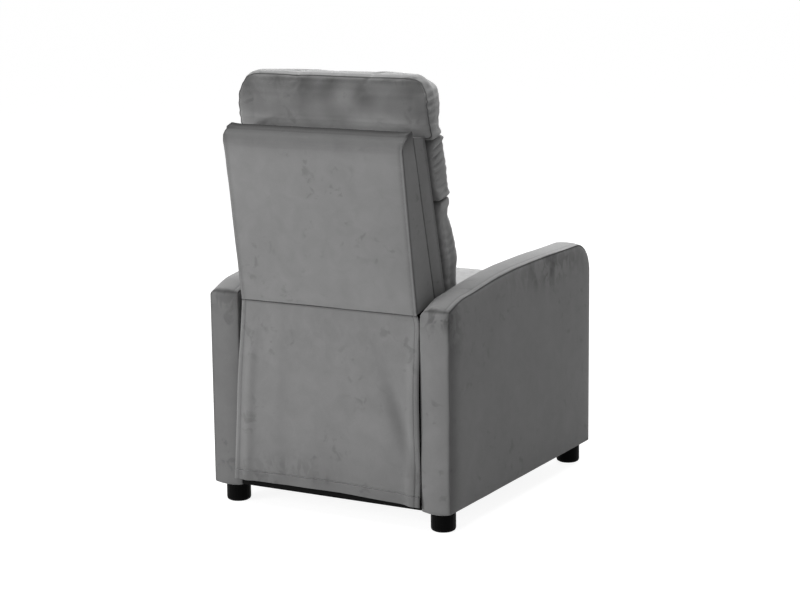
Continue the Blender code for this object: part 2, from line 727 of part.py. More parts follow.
def seat_form(x, y, z):
    """The seat cushion: crowned on top, drawn in at mid height, its rear falling away under the back."""
    length = ARM_FRONT + (seat_rear - ARM_FRONT) * (y + 1) / 2
    fall = max(0.0, min(1.0, (length - seat_rear + SEAT_TAIL) / SEAT_TAIL))
    crown = SEAT_CROWN * (1.0 - x * x) * (1.0 - 0.40 * y * y)
    top = seat_top - SEAT_CROWN_DROP + crown - SEAT_TAIL_DROP * fall ** 1.3
    height = seat_low + (top - seat_low) * (z + 1) / 2
    tuck = 1.0 - 0.012 * (1.0 - z * z)
    return Vector((x * seat_half * tuck, length - REAR_TOP[0], height - REAR_TOP[1]))


add_cushion("seat_cushion", (8, 7, 3), seat_form, VELVET, seat_axis)

# Back, modelled upright from the hip axis and raked by its empty
hip_axis = make_pivot("hip_axis", HIP, -RAKE)
stile_half = layer(3) - LINK_THICKNESS / 2 - SEAT_GAP
back_half = BACK_WIDTH / 2


def back_rear(u, inset=0.0):
    """How far behind the hip plane the rear face of the back lies at this height."""
    share = (u - BACK_LOW) / (BACK_HIGH - BACK_LOW)
    return BACK_REAR_LOW + (BACK_REAR_HIGH - BACK_REAR_LOW) * share - inset


def add_back_plate(name, outline, width, x, material, bevel=0.0, segments=2):
    """An outline in the back's (t, u) plane, this wide along X."""
    part = add_part(name, flat_mesh(outline, [], width), material, hip_axis, (x, 0.0, 0.0), PLATE_TURN)
    if bevel:
        soften(part, bevel, segments)
    return part


front_face = BACK_FRONT + SEAT_GAP
inner = BACK_PANEL + SEAT_GAP
stile_top = BACK_HIGH - BACK_PANEL - SEAT_GAP
for label, side in SIDES:
    stile = [
        (front_face, -STILE_FOOT),
        (STILE_FOOT, -STILE_FOOT),
        (STILE_FOOT, BACK_LOW - STILE_STEP),
        (back_rear(BACK_LOW, inner), BACK_LOW),
        (back_rear(stile_top, inner), stile_top),
        (front_face, stile_top),
    ]
    stile_x = side * (stile_half - STILE_WIDTH / 2)
    add_back_plate(label + "_back_stile", stile, STILE_WIDTH, stile_x, WOOD, BOARD_EDGE, 1)
    pad_inner = stile_half + SEAT_GAP
    pad = [
        (BACK_FRONT, BACK_LOW),
        (back_rear(BACK_LOW, inner), BACK_LOW),
        (back_rear(stile_top, inner), stile_top),
        (BACK_FRONT, stile_top),
    ]
    pad_x = side * (back_half + pad_inner) / 2
    add_back_plate("back_" + label + "_side_pad", pad, back_half - pad_inner, pad_x, VELVET, BACK_PAD_EDGE)

rail_span = 2 * (stile_half - STILE_WIDTH - SEAT_GAP)
rail_foot = BACK_LOW + BACK_RAIL_LIFT
for name, low, high in (
    ("back_low_rail", rail_foot, rail_foot + BACK_RAIL_HEIGHT),
    ("back_top_rail", stile_top - BACK_RAIL_HEIGHT, stile_top),
):
    rail = [
        (front_face, low),
        (back_rear(low, inner), low),
        (back_rear(high, inner), high),
        (front_face, high),
    ]
    add_back_plate(name, rail, rail_span, 0.0, WOOD, BOARD_EDGE, 1)

rear_panel = [
    (back_rear(BACK_LOW, BACK_PANEL), BACK_LOW),
    (back_rear(BACK_LOW), BACK_LOW),
    (back_rear(BACK_HIGH), BACK_HIGH),
    (back_rear(BACK_HIGH, BACK_PANEL), BACK_HIGH),
]
add_back_plate("back_rear_panel", rear_panel, BACK_WIDTH, 0.0, VELVET, REAR_PANEL_EDGE)
top_low = stile_top + SEAT_GAP
top_pad = [
    (BACK_FRONT, top_low),
    (back_rear(top_low, inner), top_low),
    (back_rear(BACK_HIGH, inner), BACK_HIGH),
    (BACK_FRONT + TOP_SLOPE, BACK_HIGH + TOP_SLOPE),
    (BACK_FRONT, BACK_HIGH + TOP_SLOPE),
]
add_back_plate("back_top_pad", top_pad, BACK_WIDTH, 0.0, VELVET, BACK_PAD_EDGE)

strap_face = front_face - SEAT_GAP
strap_half = stile_half - STRAP_END_GAP
for number in range(4):
    height = BACK_LOW + STRAP_FIRST + STRAP_PITCH * number
    strap = [
        (strap_face - STRAP_THICKNESS, height - STRAP_WIDTH / 2),
        (strap_face, height - STRAP_WIDTH / 2),
        (strap_face, height + STRAP_WIDTH / 2),
        (strap_face - STRAP_THICKNESS, height + STRAP_WIDTH / 2),
    ]
    add_back_plate("back_strap_%d" % (number + 1), strap, 2 * strap_half, 0.0, WEBBING)

# Back brackets, with the hip hole and the guide pin
guide = turned_point(GUIDE_PIN, -BACK_RAKE)
for label, side in SIDES:
    tab_top = BACK_LOW - BRACKET_TOP_GAP
    tab = [(front_face + BRACKET_EDGE, tab_top), (STILE_FOOT - BRACKET_EDGE, tab_top)]
    outline = hull(circle((0.0, 0.0), BRACKET_HIP_RADIUS, 16) + circle(guide, BRACKET_PIN_RADIUS, 16) + tab)
    plate = flat_mesh(outline, [], LINK_THICKNESS)
    plate = rivet(plate, (0.0, 0.0), side, 1)
    plate = rivet(plate, guide, side, 3, False)
    add_part(label + "_back_bracket", plate, STEEL, hip_axis, (side * layer(3), 0.0, 0.0), PLATE_TURN)

# Back foam and the three stuffed sections in front of it
foam_rear = strap_face - STRAP_THICKNESS - SEAT_GAP
foam_front = foam_rear - FOAM_DEPTH
foam_low = LUMBAR_LOW + FOAM_END_GAP
foam_high = BACK_HIGH - FOAM_END_GAP
foam_half = back_half + FOAM_PROUD


def foam_form(x, y, z):
    bow = 1.0 + 0.004 * (1.0 - y * y)
    return Vector((
        x * foam_half * bow,
        (foam_front + foam_rear) / 2 + y * FOAM_DEPTH / 2,
        foam_low + (foam_high - foam_low) * (z + 1) / 2,
    ))


add_cushion("back_foam", (4, 2, 4), foam_form, VELVET, hip_axis)


def pillow_form(low, high, half, crown, lean):
    """A stuffed section: its rim drawn in, its front swelling out, leaning forward above the back's top."""
    rear = foam_front - SOFT_GAP
    rim = PILLOW_DEPTH - crown

    def form(x, y, z):
        ahead = max(0.0, -y)
        height = low + (high - low) * (z + 1) / 2
        depth = rear - (1.0 - y) / 2 * rim - ahead * crown * (1.0 - x ** 4) * (1.0 - z * z)
        tuck = 1.0 - 0.030 * ahead * abs(z) ** 3
        if lean:
            raised = max(0.0, (z + 0.2) / 1.2)
            depth += HEAD_OVERHANG * math.exp(-((z - 0.05) / 0.35) ** 2) * max(0.0, y) - lean * raised
            height -= raised * lean * (1.0 - y) / 2 + HEAD_ROUND * raised ** 2 * abs(x) ** 7
            tuck -= HEAD_TAPER * (raised + 0.6 * ahead)
        return Vector((x * half * tuck, depth, height))

    return form


sections = (
    ("lumbar_cushion", LUMBAR_LOW, LUMBAR_HIGH, PILLOW_WIDTH / 2, LUMBAR_CROWN, 0.0),
    ("upper_back_cushion", LUMBAR_HIGH + SOFT_GAP, UPPER_HIGH, PILLOW_WIDTH / 2, UPPER_CROWN, 0.0),
    ("head_cushion", UPPER_HIGH + SOFT_GAP, HEAD_HIGH, HEAD_WIDTH / 2, HEAD_CROWN, HEAD_LEAN),
)
for name, low, high, half, crown, lean in sections:
    add_cushion(name, (6, 3, 4), pillow_form(low, high, half, crown, lean), VELVET, hip_axis)

# Footrest linkage
drive_axis = make_pivot("drive_axis", DRIVE_PIVOT)
scissor_axis = make_pivot("scissor_axis", SCISSOR_PIVOT)
carry_axis = make_pivot("carry_axis", CARRY_PIVOT)
tilt_axis = make_pivot("tilt_axis", TILT_PIVOT)
footrest_axis = make_pivot("footrest_axis", FOOTREST_PIVOT)
for label, side in SIDES:
    add_link(
        label + "_drive_link", drive_axis, DRIVE_PIVOT, side, 3,
        (DRIVE_PIVOT, CARRY_PIVOT), [], [(DRIVE_PIVOT, 1), (CARRY_PIVOT, -1)],
    )
    add_link(
        label + "_scissor_link", scissor_axis, SCISSOR_PIVOT, side, 3,
        (SCISSOR_PIVOT, TILT_PIVOT), [], [(SCISSOR_PIVOT, 1), (CROSS_PIVOT, -1), (TILT_PIVOT, -1)],
    )
    add_link(
        label + "_carry_link", carry_axis, CARRY_PIVOT, side, 4,
        (CARRY_PIVOT, FOOTREST_PIVOT), [CARRY_PIVOT, CROSS_PIVOT], [(FOOTREST_PIVOT, -1)],
    )
    add_link(
        label + "_tilt_link", tilt_axis, TILT_PIVOT, side, 4,
        (TILT_PIVOT, LOWER_PIVOT), [TILT_PIVOT], [(LOWER_PIVOT, -1)],
    )
tube_place = (HANG[0] * TUBE_DROP, HANG[1] * TUBE_DROP)
tube_half = layer(3) - LINK_THICKNESS / 2 - SEAT_GAP
tube = post_mesh(tube_place, -tube_half, tube_half, TUBE_RADIUS, 12)
add_part("drive_tube", tube, PAINTED, drive_axis, (0.0, 0.0, 0.0), PLATE_TURN)

# Footrest brackets, board and pad
for label, side in SIDES:
    lower = minus(LOWER_PIVOT, FOOTREST_PIVOT)
    face = BOARD_BACK + SEAT_GAP - FOOTREST_PIVOT[0]
    foot = lower[1] - FLANGE_DROP
    edge = face + 2 * LINK_THICKNESS
    strip = [(face, foot), (face, FLANGE_RISE), (edge, FLANGE_RISE), (edge, foot)]
    outline = hull(circle((0.0, 0.0), LINK_RADIUS, 16) + circle(lower, LINK_RADIUS, 16) + strip)
    radius = PIN_RADIUS + PIN_CLEARANCE
    plate = flat_mesh(outline, [circle((0.0, 0.0), radius), circle(lower, radius)], LINK_THICKNESS)
    reach = -side * FLANGE_WIDTH
    flange = box_mesh(
        (face, foot, min(0.0, reach)), (face + LINK_THICKNESS, FLANGE_RISE, max(0.0, reach))
    )
    plate = combine(plate, flange, "UNION")
    add_part(label + "_footrest_bracket", plate, STEEL, footrest_axis, (side * layer(5), 0.0, 0.0), PLATE_TURN)

pad_low = FLOOR_GAP + PAD_LOW_RISE - FOOTREST_PIVOT[1]
pad_high = FLOOR_GAP + PAD_HIGH_RISE - FOOTREST_PIVOT[1]
board_back = BOARD_BACK - FOOTREST_PIVOT[0]
board = box_mesh(
    (-BOARD_WIDTH / 2, board_back - BOARD_THICKNESS, pad_low + BOARD_END_GAP),
    (BOARD_WIDTH / 2, board_back, pad_high - BOARD_END_GAP),
)
soften(add_part("footrest_board", board, WOOD, footrest_axis), BOARD_EDGE, 1)
pad_back = board_back - BOARD_THICKNESS - SEAT_GAP


def pad_form(x, y, z):
    """The footrest pad: flat on its board, crowned in front."""
    crown = PAD_CROWN * (1.0 - x ** 4) * (1.0 - z * z)
    depth = pad_back - (1.0 - y) / 2 * (PAD_THICKNESS - PAD_CROWN) - max(0.0, -y) * crown
    return Vector((x * PAD_WIDTH / 2, depth, pad_low + (pad_high - pad_low) * (z + 1) / 2))


add_cushion("footrest_pad", (6, 3, 4), pad_form, VELVET, footrest_axis)

# Rear flap: cloth hanging from under the back to the rear rail, with its folds
flap_top = HIP[1] - back_rear(BACK_LOW) * math.sin(RAKE) + BACK_LOW * math.cos(RAKE) - 2 * SEAT_GAP
flap_top_y = HIP[0] + back_rear(BACK_LOW) * math.cos(RAKE) + BACK_LOW * math.sin(RAKE) - FLAP_TOP_SETBACK
flap_low_y = REAR_RAIL_FACE + SEAT_GAP + FLAP_THICKNESS / 2


def fold(x, z, centre, slant, width):
    """A ridge across the cloth, strongest at its middle."""
    away = (x - centre - slant * z) / width
    return math.exp(-away * away)


def flap_place(x, z):
    """A place of the cloth, from -1 to 1 across and from 0 at its hem to 1 at its top."""
    half = FLAP_LOW_HALF + (back_half - FLAP_LOW_HALF) * z
    low = FLOOR_GAP + FLAP_CORNER_RISE + FLAP_ARCH * (1.0 - x * x)
    y = flap_low_y + (flap_top_y - flap_low_y) * max(0.0, 2.0 * z - 1.0)
    hang = math.sin(math.pi * min(1.0, z * 1.02)) ** 0.8
    y += FLAP_FOLD * hang * (fold(x, z, -0.80, 0.05, 0.13) + 0.8 * fold(x, z, 0.82, -0.04, 0.13))
    y += 0.85 * FLAP_FOLD * hang * fold(x, z, -0.92, 0.55, 0.14)
    y += 0.43 * FLAP_FOLD * hang * fold(x, z, 0.10, 0.20, 0.30)
    return Vector((x * half, y, low + (flap_top - low) * z))


cloth = bmesh.new()
bmesh.ops.create_grid(cloth, x_segments=26, y_segments=9, size=1.0)
for vert in cloth.verts:
    vert.co = flap_place(vert.co.x, (vert.co.y + 1.0) / 2)
flap_mesh = bpy.data.meshes.new("rear_flap")
cloth.to_mesh(flap_mesh)
cloth.free()
flap = smooth(add_part("rear_flap", flap_mesh, VELVET))
cloth_depth = flap.modifiers.new("cloth_depth", "SOLIDIFY")
cloth_depth.thickness = FLAP_THICKNESS
cloth_depth.offset = 0.0
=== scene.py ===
"""A compact push-back recliner in grey velvet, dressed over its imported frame."""

import math

import bmesh
import bpy
import numpy as np
from mathutils import Matrix, Vector, noise


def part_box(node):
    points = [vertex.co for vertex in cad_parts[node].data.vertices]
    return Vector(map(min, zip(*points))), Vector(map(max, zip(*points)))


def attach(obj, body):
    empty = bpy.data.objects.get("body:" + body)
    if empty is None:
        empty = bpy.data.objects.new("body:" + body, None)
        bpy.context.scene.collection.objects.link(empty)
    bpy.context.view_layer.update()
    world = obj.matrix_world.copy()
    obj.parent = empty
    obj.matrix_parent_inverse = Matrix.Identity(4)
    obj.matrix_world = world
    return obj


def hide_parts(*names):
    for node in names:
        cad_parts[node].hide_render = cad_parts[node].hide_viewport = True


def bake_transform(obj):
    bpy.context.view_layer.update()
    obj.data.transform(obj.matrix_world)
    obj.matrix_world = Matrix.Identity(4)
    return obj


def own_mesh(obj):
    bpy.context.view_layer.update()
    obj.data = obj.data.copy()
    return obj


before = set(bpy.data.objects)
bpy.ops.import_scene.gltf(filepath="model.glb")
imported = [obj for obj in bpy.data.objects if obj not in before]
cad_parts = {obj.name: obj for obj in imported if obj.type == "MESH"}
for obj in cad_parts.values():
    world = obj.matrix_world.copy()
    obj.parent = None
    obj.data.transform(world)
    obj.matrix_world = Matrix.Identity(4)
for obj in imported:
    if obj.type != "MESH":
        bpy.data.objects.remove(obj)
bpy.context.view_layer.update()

# Studio: a plain pale floor, broad soft lamps overhead, behind the chair on its left and in front of it,
# and a long lens standing behind the chair and to its right, a little above the arms.
EYE = Vector((-2.3559, 4.1749, 1.3574))
LOOK_AT = Vector((0.0, 0.0076, 0.4395))
CAMERA_ROLL = math.radians(-0.66)
LENS_MM, SENSOR_MM = 93.71, 36.0
WHITE = (1.0, 1.0, 1.0, 1.0)
ROOM_STRENGTH = 0.325
PAPER_LIT, PAPER_SEEN, PAPER_GLOW = 0.46, 0.30, 0.90

bpy.context.scene.view_settings.view_transform = "Standard"
bpy.ops.object.select_all(action="DESELECT")
bpy.ops.object.camera_add()
camera = bpy.context.object
camera.data.sensor_width = SENSOR_MM
camera.data.lens = LENS_MM
ahead = (LOOK_AT - EYE).normalized()
across = ahead.cross(Vector((0, 0, 1))).normalized()
upward = across.cross(ahead)
rolled = across * math.cos(CAMERA_ROLL) + upward * math.sin(CAMERA_ROLL)
raised = upward * math.cos(CAMERA_ROLL) - across * math.sin(CAMERA_ROLL)
stand = Matrix((rolled, raised, -ahead)).transposed().to_4x4()
stand.translation = EYE
camera.matrix_world = stand
bpy.context.scene.camera = camera

for lamp_name, lamp_place, lamp_aim, lamp_size, lamp_watts in (
    ("overhead_lamp", (0.3, 0.3, 3.1), (0.0, 0.0, 0.5), 2.6, 88.0),
    ("rear_lamp", (2.5, 3.9, 1.5), (0.0, 0.1, 0.45), 2.2, 135.0),
    ("front_lamp", (0.8, -3.8, 2.2), (0.0, 0.0, 0.45), 2.4, 70.0),
):
    bpy.ops.object.light_add(type="AREA", location=lamp_place)
    lamp = bpy.context.object
    lamp.name = lamp_name
    lamp.data.size = lamp_size
    lamp.data.energy = lamp_watts
    lamp.rotation_mode = "QUATERNION"
    lamp.rotation_quaternion = (Vector(lamp_aim) - Vector(lamp_place)).to_track_quat("-Z", "Y")


class Shade:
    """A value or colour in a finish, so that sums of them can be written as sums."""

    def __init__(self, finish, socket):
        self.finish = finish
        self.socket = socket

    def maths(self, operation, first, second):
        return self.finish.node("ShaderNodeMath", {"operation": operation}, {0: first, 1: second})

    def __add__(self, other):
        return self.maths("ADD", self, other)

    def __sub__(self, other):
        return self.maths("SUBTRACT", self, other)

    def __rsub__(self, other):
        return self.maths("SUBTRACT", other, self)

    def __mul__(self, other):
        return self.maths("MULTIPLY", self, other)

    __radd__, __rmul__ = __add__, __mul__


class Finish:
    """One material, or the light of the room, with a method that adds any node to it."""

    def __init__(self, name, shelf=bpy.data.materials):
        self.holder = shelf.new(name)
        self.holder.use_nodes = True
        self.tree = self.holder.node_tree
        self.shader = self.tree.nodes.get("Principled BSDF") or self.tree.nodes["Background"]

    def node(self, kind, settings, sockets, output=0):
        node = self.tree.nodes.new(kind)
        for key, value in settings.items():
            setattr(node, key, value)
        self.feed(node, sockets)
        return Shade(self, node.outputs[output])

    def feed(self, node, sockets):
        for key, value in sockets.items():
            if isinstance(value, Shade):
                self.tree.links.new(value.socket, node.inputs[key])
            else:
                node.inputs[key].default_value = value

    def place(self, stretch=(1.0, 1.0, 1.0), turn=(0.0, 0.0, 0.0)):
        where = self.node("ShaderNodeTexCoord", {}, {}, "Object")
        return self.node("ShaderNodeMapping", {}, {"Vector": where, "Scale": stretch, "Rotation": turn})

    def mottle(self, place, scale, detail, distortion=0.0):
        sockets = {"Vector": place, "Scale": scale, "Detail": detail, "Distortion": distortion}
        return self.node("ShaderNodeTexNoise", {}, sockets)

    def step(self, value, low, high):
        settings = {"interpolation_type": "SMOOTHSTEP"}
        return self.node("ShaderNodeMapRange", settings, {"Value": value, "From Min": low, "From Max": high})

    def painted_on(self, name):
        return self.node("ShaderNodeAttribute", {"attribute_name": name}, {}, "Fac")

    def grey(self, level):
        return self.node("ShaderNodeCombineColor", {}, {0: level, 1: level, 2: level})

    def between(self, share, first, second):
        sockets = {0: share, 6: first, 7: second}
        return self.node("ShaderNodeMix", {"data_type": "RGBA"}, sockets, 2)

    def relief(self, height, depth, strength):
        return self.node("ShaderNodeBump", {}, {"Height": height, "Distance": depth, "Strength": strength})


def white_to_sight(finish):
    """1 for rays that come from the camera, from gloss or through glass, which see the studio's white."""
    seen, glossy, through = (
        finish.node("ShaderNodeLightPath", {}, {}, ray)
        for ray in ("Is Camera Ray", "Is Glossy Ray", "Is Transmission Ray")
    )
    return seen.maths("MAXIMUM", seen.maths("MAXIMUM", seen, glossy), through)


room = Finish("room", bpy.data.worlds)
room.feed(room.shader, {"Color": WHITE, "Strength": ROOM_STRENGTH})
room_lit = Shade(room, room.shader.outputs[0])
room_seen = room.node("ShaderNodeBackground", {}, {"Color": WHITE})
room_mix = room.node("ShaderNodeMixShader", {}, {0: white_to_sight(room), 1: room_lit, 2: room_seen})
room.feed(room.tree.nodes["World Output"], {"Surface": room_mix})
bpy.context.scene.world = room.holder

bpy.ops.mesh.primitive_plane_add(size=40.0)
floor = bpy.context.object
floor.name = "floor"
paper = Finish("pale_paper")
paper.tree.nodes.remove(paper.shader)
paper_lit, paper_shaded = (
    paper.node("ShaderNodeBsdfDiffuse", {}, {"Color": (tone, tone, tone, 1.0)}) for tone in (PAPER_LIT, PAPER_SEEN)
)
paper_glow = paper.node("ShaderNodeEmission", {}, {"Strength": PAPER_GLOW})
paper_seen = paper.node("ShaderNodeAddShader", {}, {0: paper_shaded, 1: paper_glow})
paper_mix = paper.node("ShaderNodeMixShader", {}, {0: white_to_sight(paper), 1: paper_lit, 2: paper_seen})
paper.feed(paper.tree.nodes["Material Output"], {"Surface": paper_mix})
floor.data.materials.append(paper.holder)

# Feet: four round moulded plastic feet with a threaded stud, screwed up into the blocks in the arms.
# Black, faintly mottled by the mould, duller where the rim rubs on the floor.


def dress(names, finish):
    """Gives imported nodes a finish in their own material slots."""
    for name in names:
        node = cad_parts[name]
        for slot in node.material_slots:
            slot.material = finish.holder


moulded = Finish("moulded_black_plastic")
moulded_place = moulded.place()
moulded_cloud = moulded.mottle(moulded_place, 45.0, 3.0)
moulded_grit = moulded.mottle(moulded_place, 900.0, 2.0)
moulded_height = moulded.node("ShaderNodeSeparateXYZ", {}, {0: moulded_place}, "Z")
moulded_rub = (1.0 - moulded.step(moulded_height, 0.001, 0.009)) * moulded_cloud
moulded.feed(
    moulded.shader,
    {
        "Base Color": moulded.grey(0.0012 + 0.0016 * moulded_cloud + 0.006 * moulded_rub),
        "Roughness": 0.42 + 0.12 * moulded_cloud + 0.3 * moulded_rub,
        "Normal": moulded.relief(moulded_grit, 0.0003, 0.25),
        "Specular IOR Level": 0.03,
    },
)
dress(["foot_front_left", "foot_front_right", "foot_rear_left", "foot_rear_right"], moulded)

# Arm frames and the rails of seat and back: sawn softwood boards and blocks, glued and stapled, left
# bare under the covers. Long grain with darker late wood and a few rough patches from the saw.
timber = Finish("sawn_softwood")
timber_fibre = timber.mottle(timber.place((90.0, 7.0, 90.0)), 1.0, 5.0, 0.4)
timber_ring = timber.mottle(timber.place((22.0, 1.6, 22.0)), 1.0, 2.0, 1.2)
timber_late = timber.step(timber_ring, 0.42, 0.60)
timber_saw = timber.mottle(timber.place((40.0, 600.0, 40.0)), 1.0, 2.0)
timber_tone = timber.between(timber_late, (0.56, 0.37, 0.19, 1.0), (0.40, 0.235, 0.105, 1.0))
timber_tone = timber.between(0.55 * timber_fibre, timber_tone, (0.30, 0.165, 0.07, 1.0))
timber.feed(
    timber.shader,
    {
        "Base Color": timber_tone,
        "Roughness": 0.60 + 0.22 * timber_fibre,
        "Normal": timber.relief(0.6 * timber_fibre + 0.4 * timber_saw, 0.0008, 0.5),
    },
)
dress(["left_arm_frame", "right_arm_frame"], timber)
dress(["seat_left_rail", "seat_right_rail", "seat_rear_rail", "back_low_rail", "back_top_rail"], timber)

# Arm covers: grey velvet sewn round each arm, an outer and an inner panel joined to one long boxing
# strip that runs over the top. Thin wadding underneath gives a slight crown between the seams.
ARM_LOW, ARM_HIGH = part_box("left_arm_cover")
ARM_REAR_RISE = 0.445
ARM_PEAK_RISE = 0.495
ARM_REAR_SWELL = 0.0055
ARM_CORNER = 0.075
ARM_OUTER = {1: 0.3095, -1: 0.3050}
ARM_FRONT_WADDING, ARM_TOP_WADDING = 0.0085, 0.0030
ARM_OUTER_EDGE = 0.0060
ARM_CROWN = 0.0026
ARM_ROUND, ARM_REAR_ROUND = 0.010, {1: 0.013, -1: 0.018}
ARM_REAR_BULGE = 0.0010
PANEL_SEAM, OUTER_SEAM_DEPTH, INNER_SEAM_DEPTH = 0.0022, 0.0018, 0.0014
TOP_STITCH, TOP_STITCH_DEPTH = 0.0105, 0.0007
STRIP_CROWN, STRIP_JOIN_DEPTH = 0.0042, 0.0022
# Painted shade on each arm's rear edge, and on the top of the sitter's left arm.
ARM_REAR_SHADE, ARM_TOP_SHADE = {1: -0.16, -1: -0.02}, {1: -0.10, -1: 0.0}
ARM_RUBBED = {1: 0.25, -1: 1.0}


def velvet(name, tone, sheen=0.42):
    """Short-pile velvet: drifts and smudges of laid pile; bruises, rubbed wear, stitch lines, painted shade in the
    seams and painted light and shade are painted on.
    """
    finish = Finish(name)
    place = finish.place()
    drift = finish.mottle(place, 5.0, 2.0)
    nap = finish.mottle(place, 24.0, 4.0, 0.7)
    pile = finish.mottle(place, 640.0, 2.0)
    smudge = finish.step(finish.mottle(place, 36.0, 3.0, 0.6), 0.56, 0.70)
    smudge = smudge * finish.step(finish.mottle(place, 8.5, 1.0), 0.47, 0.60)
    dabs = finish.mottle(finish.place((44.0, 44.0, 27.0), (0.5, 0.3, 0.0)), 1.0, 3.0, 0.9)
    bruise = finish.step(dabs, 0.42, 0.57) * finish.painted_on("crush")
    thread = finish.step(finish.mottle(finish.place((420.0, 420.0, 420.0)), 1.0, 0.0), 0.38, 0.50)
    seam = finish.painted_on("seam")
    stitch = finish.painted_on("stitch") * (0.55 + 0.45 * thread)
    level = tone * (1.0 + 0.16 * (drift - 0.5) + 0.26 * (nap - 0.5) + 0.16 * (pile - 0.5))
    # Painted light and shade, with some rubbed wear, lighten or darken the tone here.
    level = level * (1.0 + finish.painted_on("painted_light_and_wear")) * (1.0 - 0.19 * smudge) * (1.0 - 0.42 * bruise)
    # The seam share darkens the seams with painted shade; the stitch share darkens the stitch lines.
    level = level * (1.0 - 0.72 * seam) * (1.0 - 0.34 * stitch)
    height = 0.55 * pile + 0.30 * nap + 0.15 * drift - 0.4 * stitch
    finish.feed(
        finish.shader,
        {
            "Base Color": finish.grey(level),
            "Roughness": 0.80 + 0.16 * nap,
            "Normal": finish.relief(height, 0.0011, 0.55),
            "Specular IOR Level": 0.22,
            "Sheen Weight": sheen,
            "Sheen Roughness": 0.38,
            "Sheen Tint": (1.0, 1.0, 1.0, 1.0),
        },
    )
    return finish


def points_of(piece):
    """A piece's points as an array."""
    points = np.empty(len(piece.data.vertices) * 3)
    piece.data.vertices.foreach_get("co", points)
    return points.reshape(-1, 3)


def move_points(piece, points):
    piece.data.vertices.foreach_set("co", points.ravel())
    piece.data.update()


def normals_of(piece):
    normals = np.empty(len(piece.data.vertices) * 3)
    piece.data.vertices.foreach_get("normal", normals)
    return normals.reshape(-1, 3)


def paint_on(piece, name, shares):
    """Stores a share at each point, for the finish to read."""
    layer = piece.data.attributes.new(name, "FLOAT", "POINT")
    layer.data.foreach_set("value", np.clip(shares, -1.0, 1.0).astype(np.float32))


def bump(distance, width):
    """A smooth bump: 1 at distance 0, near 0 beyond two widths."""
    return np.exp(-((distance / width) ** 2))


def ripple(points, scale, seed):
    """Smooth seeded noise from about -1 to 1 at each point."""
    shift = Vector((seed * 3.1, seed * 1.7, seed * 2.3))
    return np.array([noise.noise(Vector(point) * scale + shift) for point in points])


def apply_modifiers(piece):
    bpy.context.view_layer.objects.active = piece
    for modifier in list(piece.modifiers):
        bpy.ops.object.modifier_apply(modifier=modifier.name)


def subdivide(piece, levels):
    """Subdivides a piece smoothly, for good."""
    modifier = piece.modifiers.new("Subdivision", "SUBSURF")
    modifier.levels = modifier.render_levels = levels
    apply_modifiers(piece)


def cover(piece, finish, body, nodes):
    """Finishes a made piece: smooth shading, its material, and its place on the frame."""
    bpy.ops.object.select_all(action="DESELECT")
    piece.select_set(True)
    bpy.context.view_layer.objects.active = piece
    bpy.ops.object.shade_smooth()
    piece.data.materials.clear()
    piece.data.materials.append(finish.holder)
    if nodes:
        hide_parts(*nodes)
    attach(piece, body)


def arm_top(y):
    """Height of the arm's top: a long arc that climbs fastest near the rear."""
    share = (ARM_HIGH.y - y) / (ARM_HIGH.y - (ARM_LOW.y + ARM_CORNER))
    rise = (ARM_PEAK_RISE - ARM_REAR_RISE) * (1.0 - max(0.0, 1.0 - share * 1.12) ** 3.2)
    rise += ARM_REAR_SWELL * math.exp(-(((share - 0.088) / 0.070) ** 2))
    return ARM_LOW.z + ARM_REAR_RISE + rise + ARM_TOP_WADDING


def arm_line():
    """The arm's side outline as (y, z), anticlockwise seen from the outside of the left arm."""
    front, rear, low = ARM_LOW.y - ARM_FRONT_WADDING, ARM_HIGH.y, ARM_LOW.z
    small, tight = 0.005, 0.0025
    top = arm_top(rear - small)
    line = [(front + tight + (rear - front - 2 * tight) * i / 25, low) for i in range(26)]
    line += [(rear - tight * (1 - math.sin(a)), low + tight * (1 - math.cos(a))) for a in (0.5, 1.05)]
    line += [(rear, low + tight + (top - low - small - tight) * (i / 17) ** 0.9) for i in range(18)]
    line += [(rear - small * (1 - math.cos(a)), top - small * (1 - math.sin(a))) for a in (0.5, 0.79, 1.1)]
    middle = front + ARM_CORNER
    for i in range(45):
        y = rear - small + (middle - rear + small) * (i / 44) ** 1.25
        line.append((y, arm_top(y)))
    peak = arm_top(middle)
    for i in range(1, 15):
        turn = math.radians(90.0 * i / 14)
        line.append((middle - ARM_CORNER * math.sin(turn), peak - ARM_CORNER * (1 - math.cos(turn))))
    start = peak - ARM_CORNER
    line += [(front, start + (low + tight - start) * i / 14) for i in range(1, 15)]
    line += [(front + tight * (1 - math.cos(a)), low + tight * (1 - math.sin(a))) for a in (0.5, 1.05)]
    return line


def reach_inside(points, line):
    """Distance of (y, z) points from a closed line, and the line's outward direction nearest to each."""
    starts = np.array(line)
    runs = np.roll(starts, -1, axis=0) - starts
    lengths = np.linalg.norm(runs, axis=1)
    outward = np.stack([runs[:, 1], -runs[:, 0]], axis=1) / lengths[:, None]
    offset = points[:, None, :] - starts[None, :, :]
    share = np.clip((offset * runs).sum(2) / lengths**2, 0.0, 1.0)
    gap = np.linalg.norm(offset - share[:, :, None] * runs, axis=2)
    nearest = gap.argmin(axis=1)
    return gap[np.arange(len(points)), nearest], outward[nearest]


def rounded(across, below, radius):
    """How far points by a square edge move across and down to round it, from their depths in both faces."""
    over = np.stack([radius - across, radius - below], axis=1)
    past = np.linalg.norm(over, axis=1) / np.maximum(radius, 1e-6)
    drawn = np.where((over > 0).all(axis=1) & (past > 1.0), 1.0 - 1.0 / np.maximum(past, 1.0), 0.0)
    return over * drawn[:, None]


def begin(name, primitive, **sizes):
    """A new piece, begun from one of Blender's primitives and alone in the selection."""
    bpy.ops.object.select_all(action="DESELECT")
    primitive(**sizes)
    piece = bpy.context.object
    piece.name = name
    return piece


def cut_across(axis, place):
    """Cuts the mesh in hand right across, at a place on one axis."""
    point, normal = [0.0, 0.0, 0.0], [0.0, 0.0, 0.0]
    point[axis], normal[axis] = place, 1.0
    bpy.ops.mesh.select_all(action="SELECT")
    bpy.ops.mesh.bisect(plane_co=point, plane_no=normal)


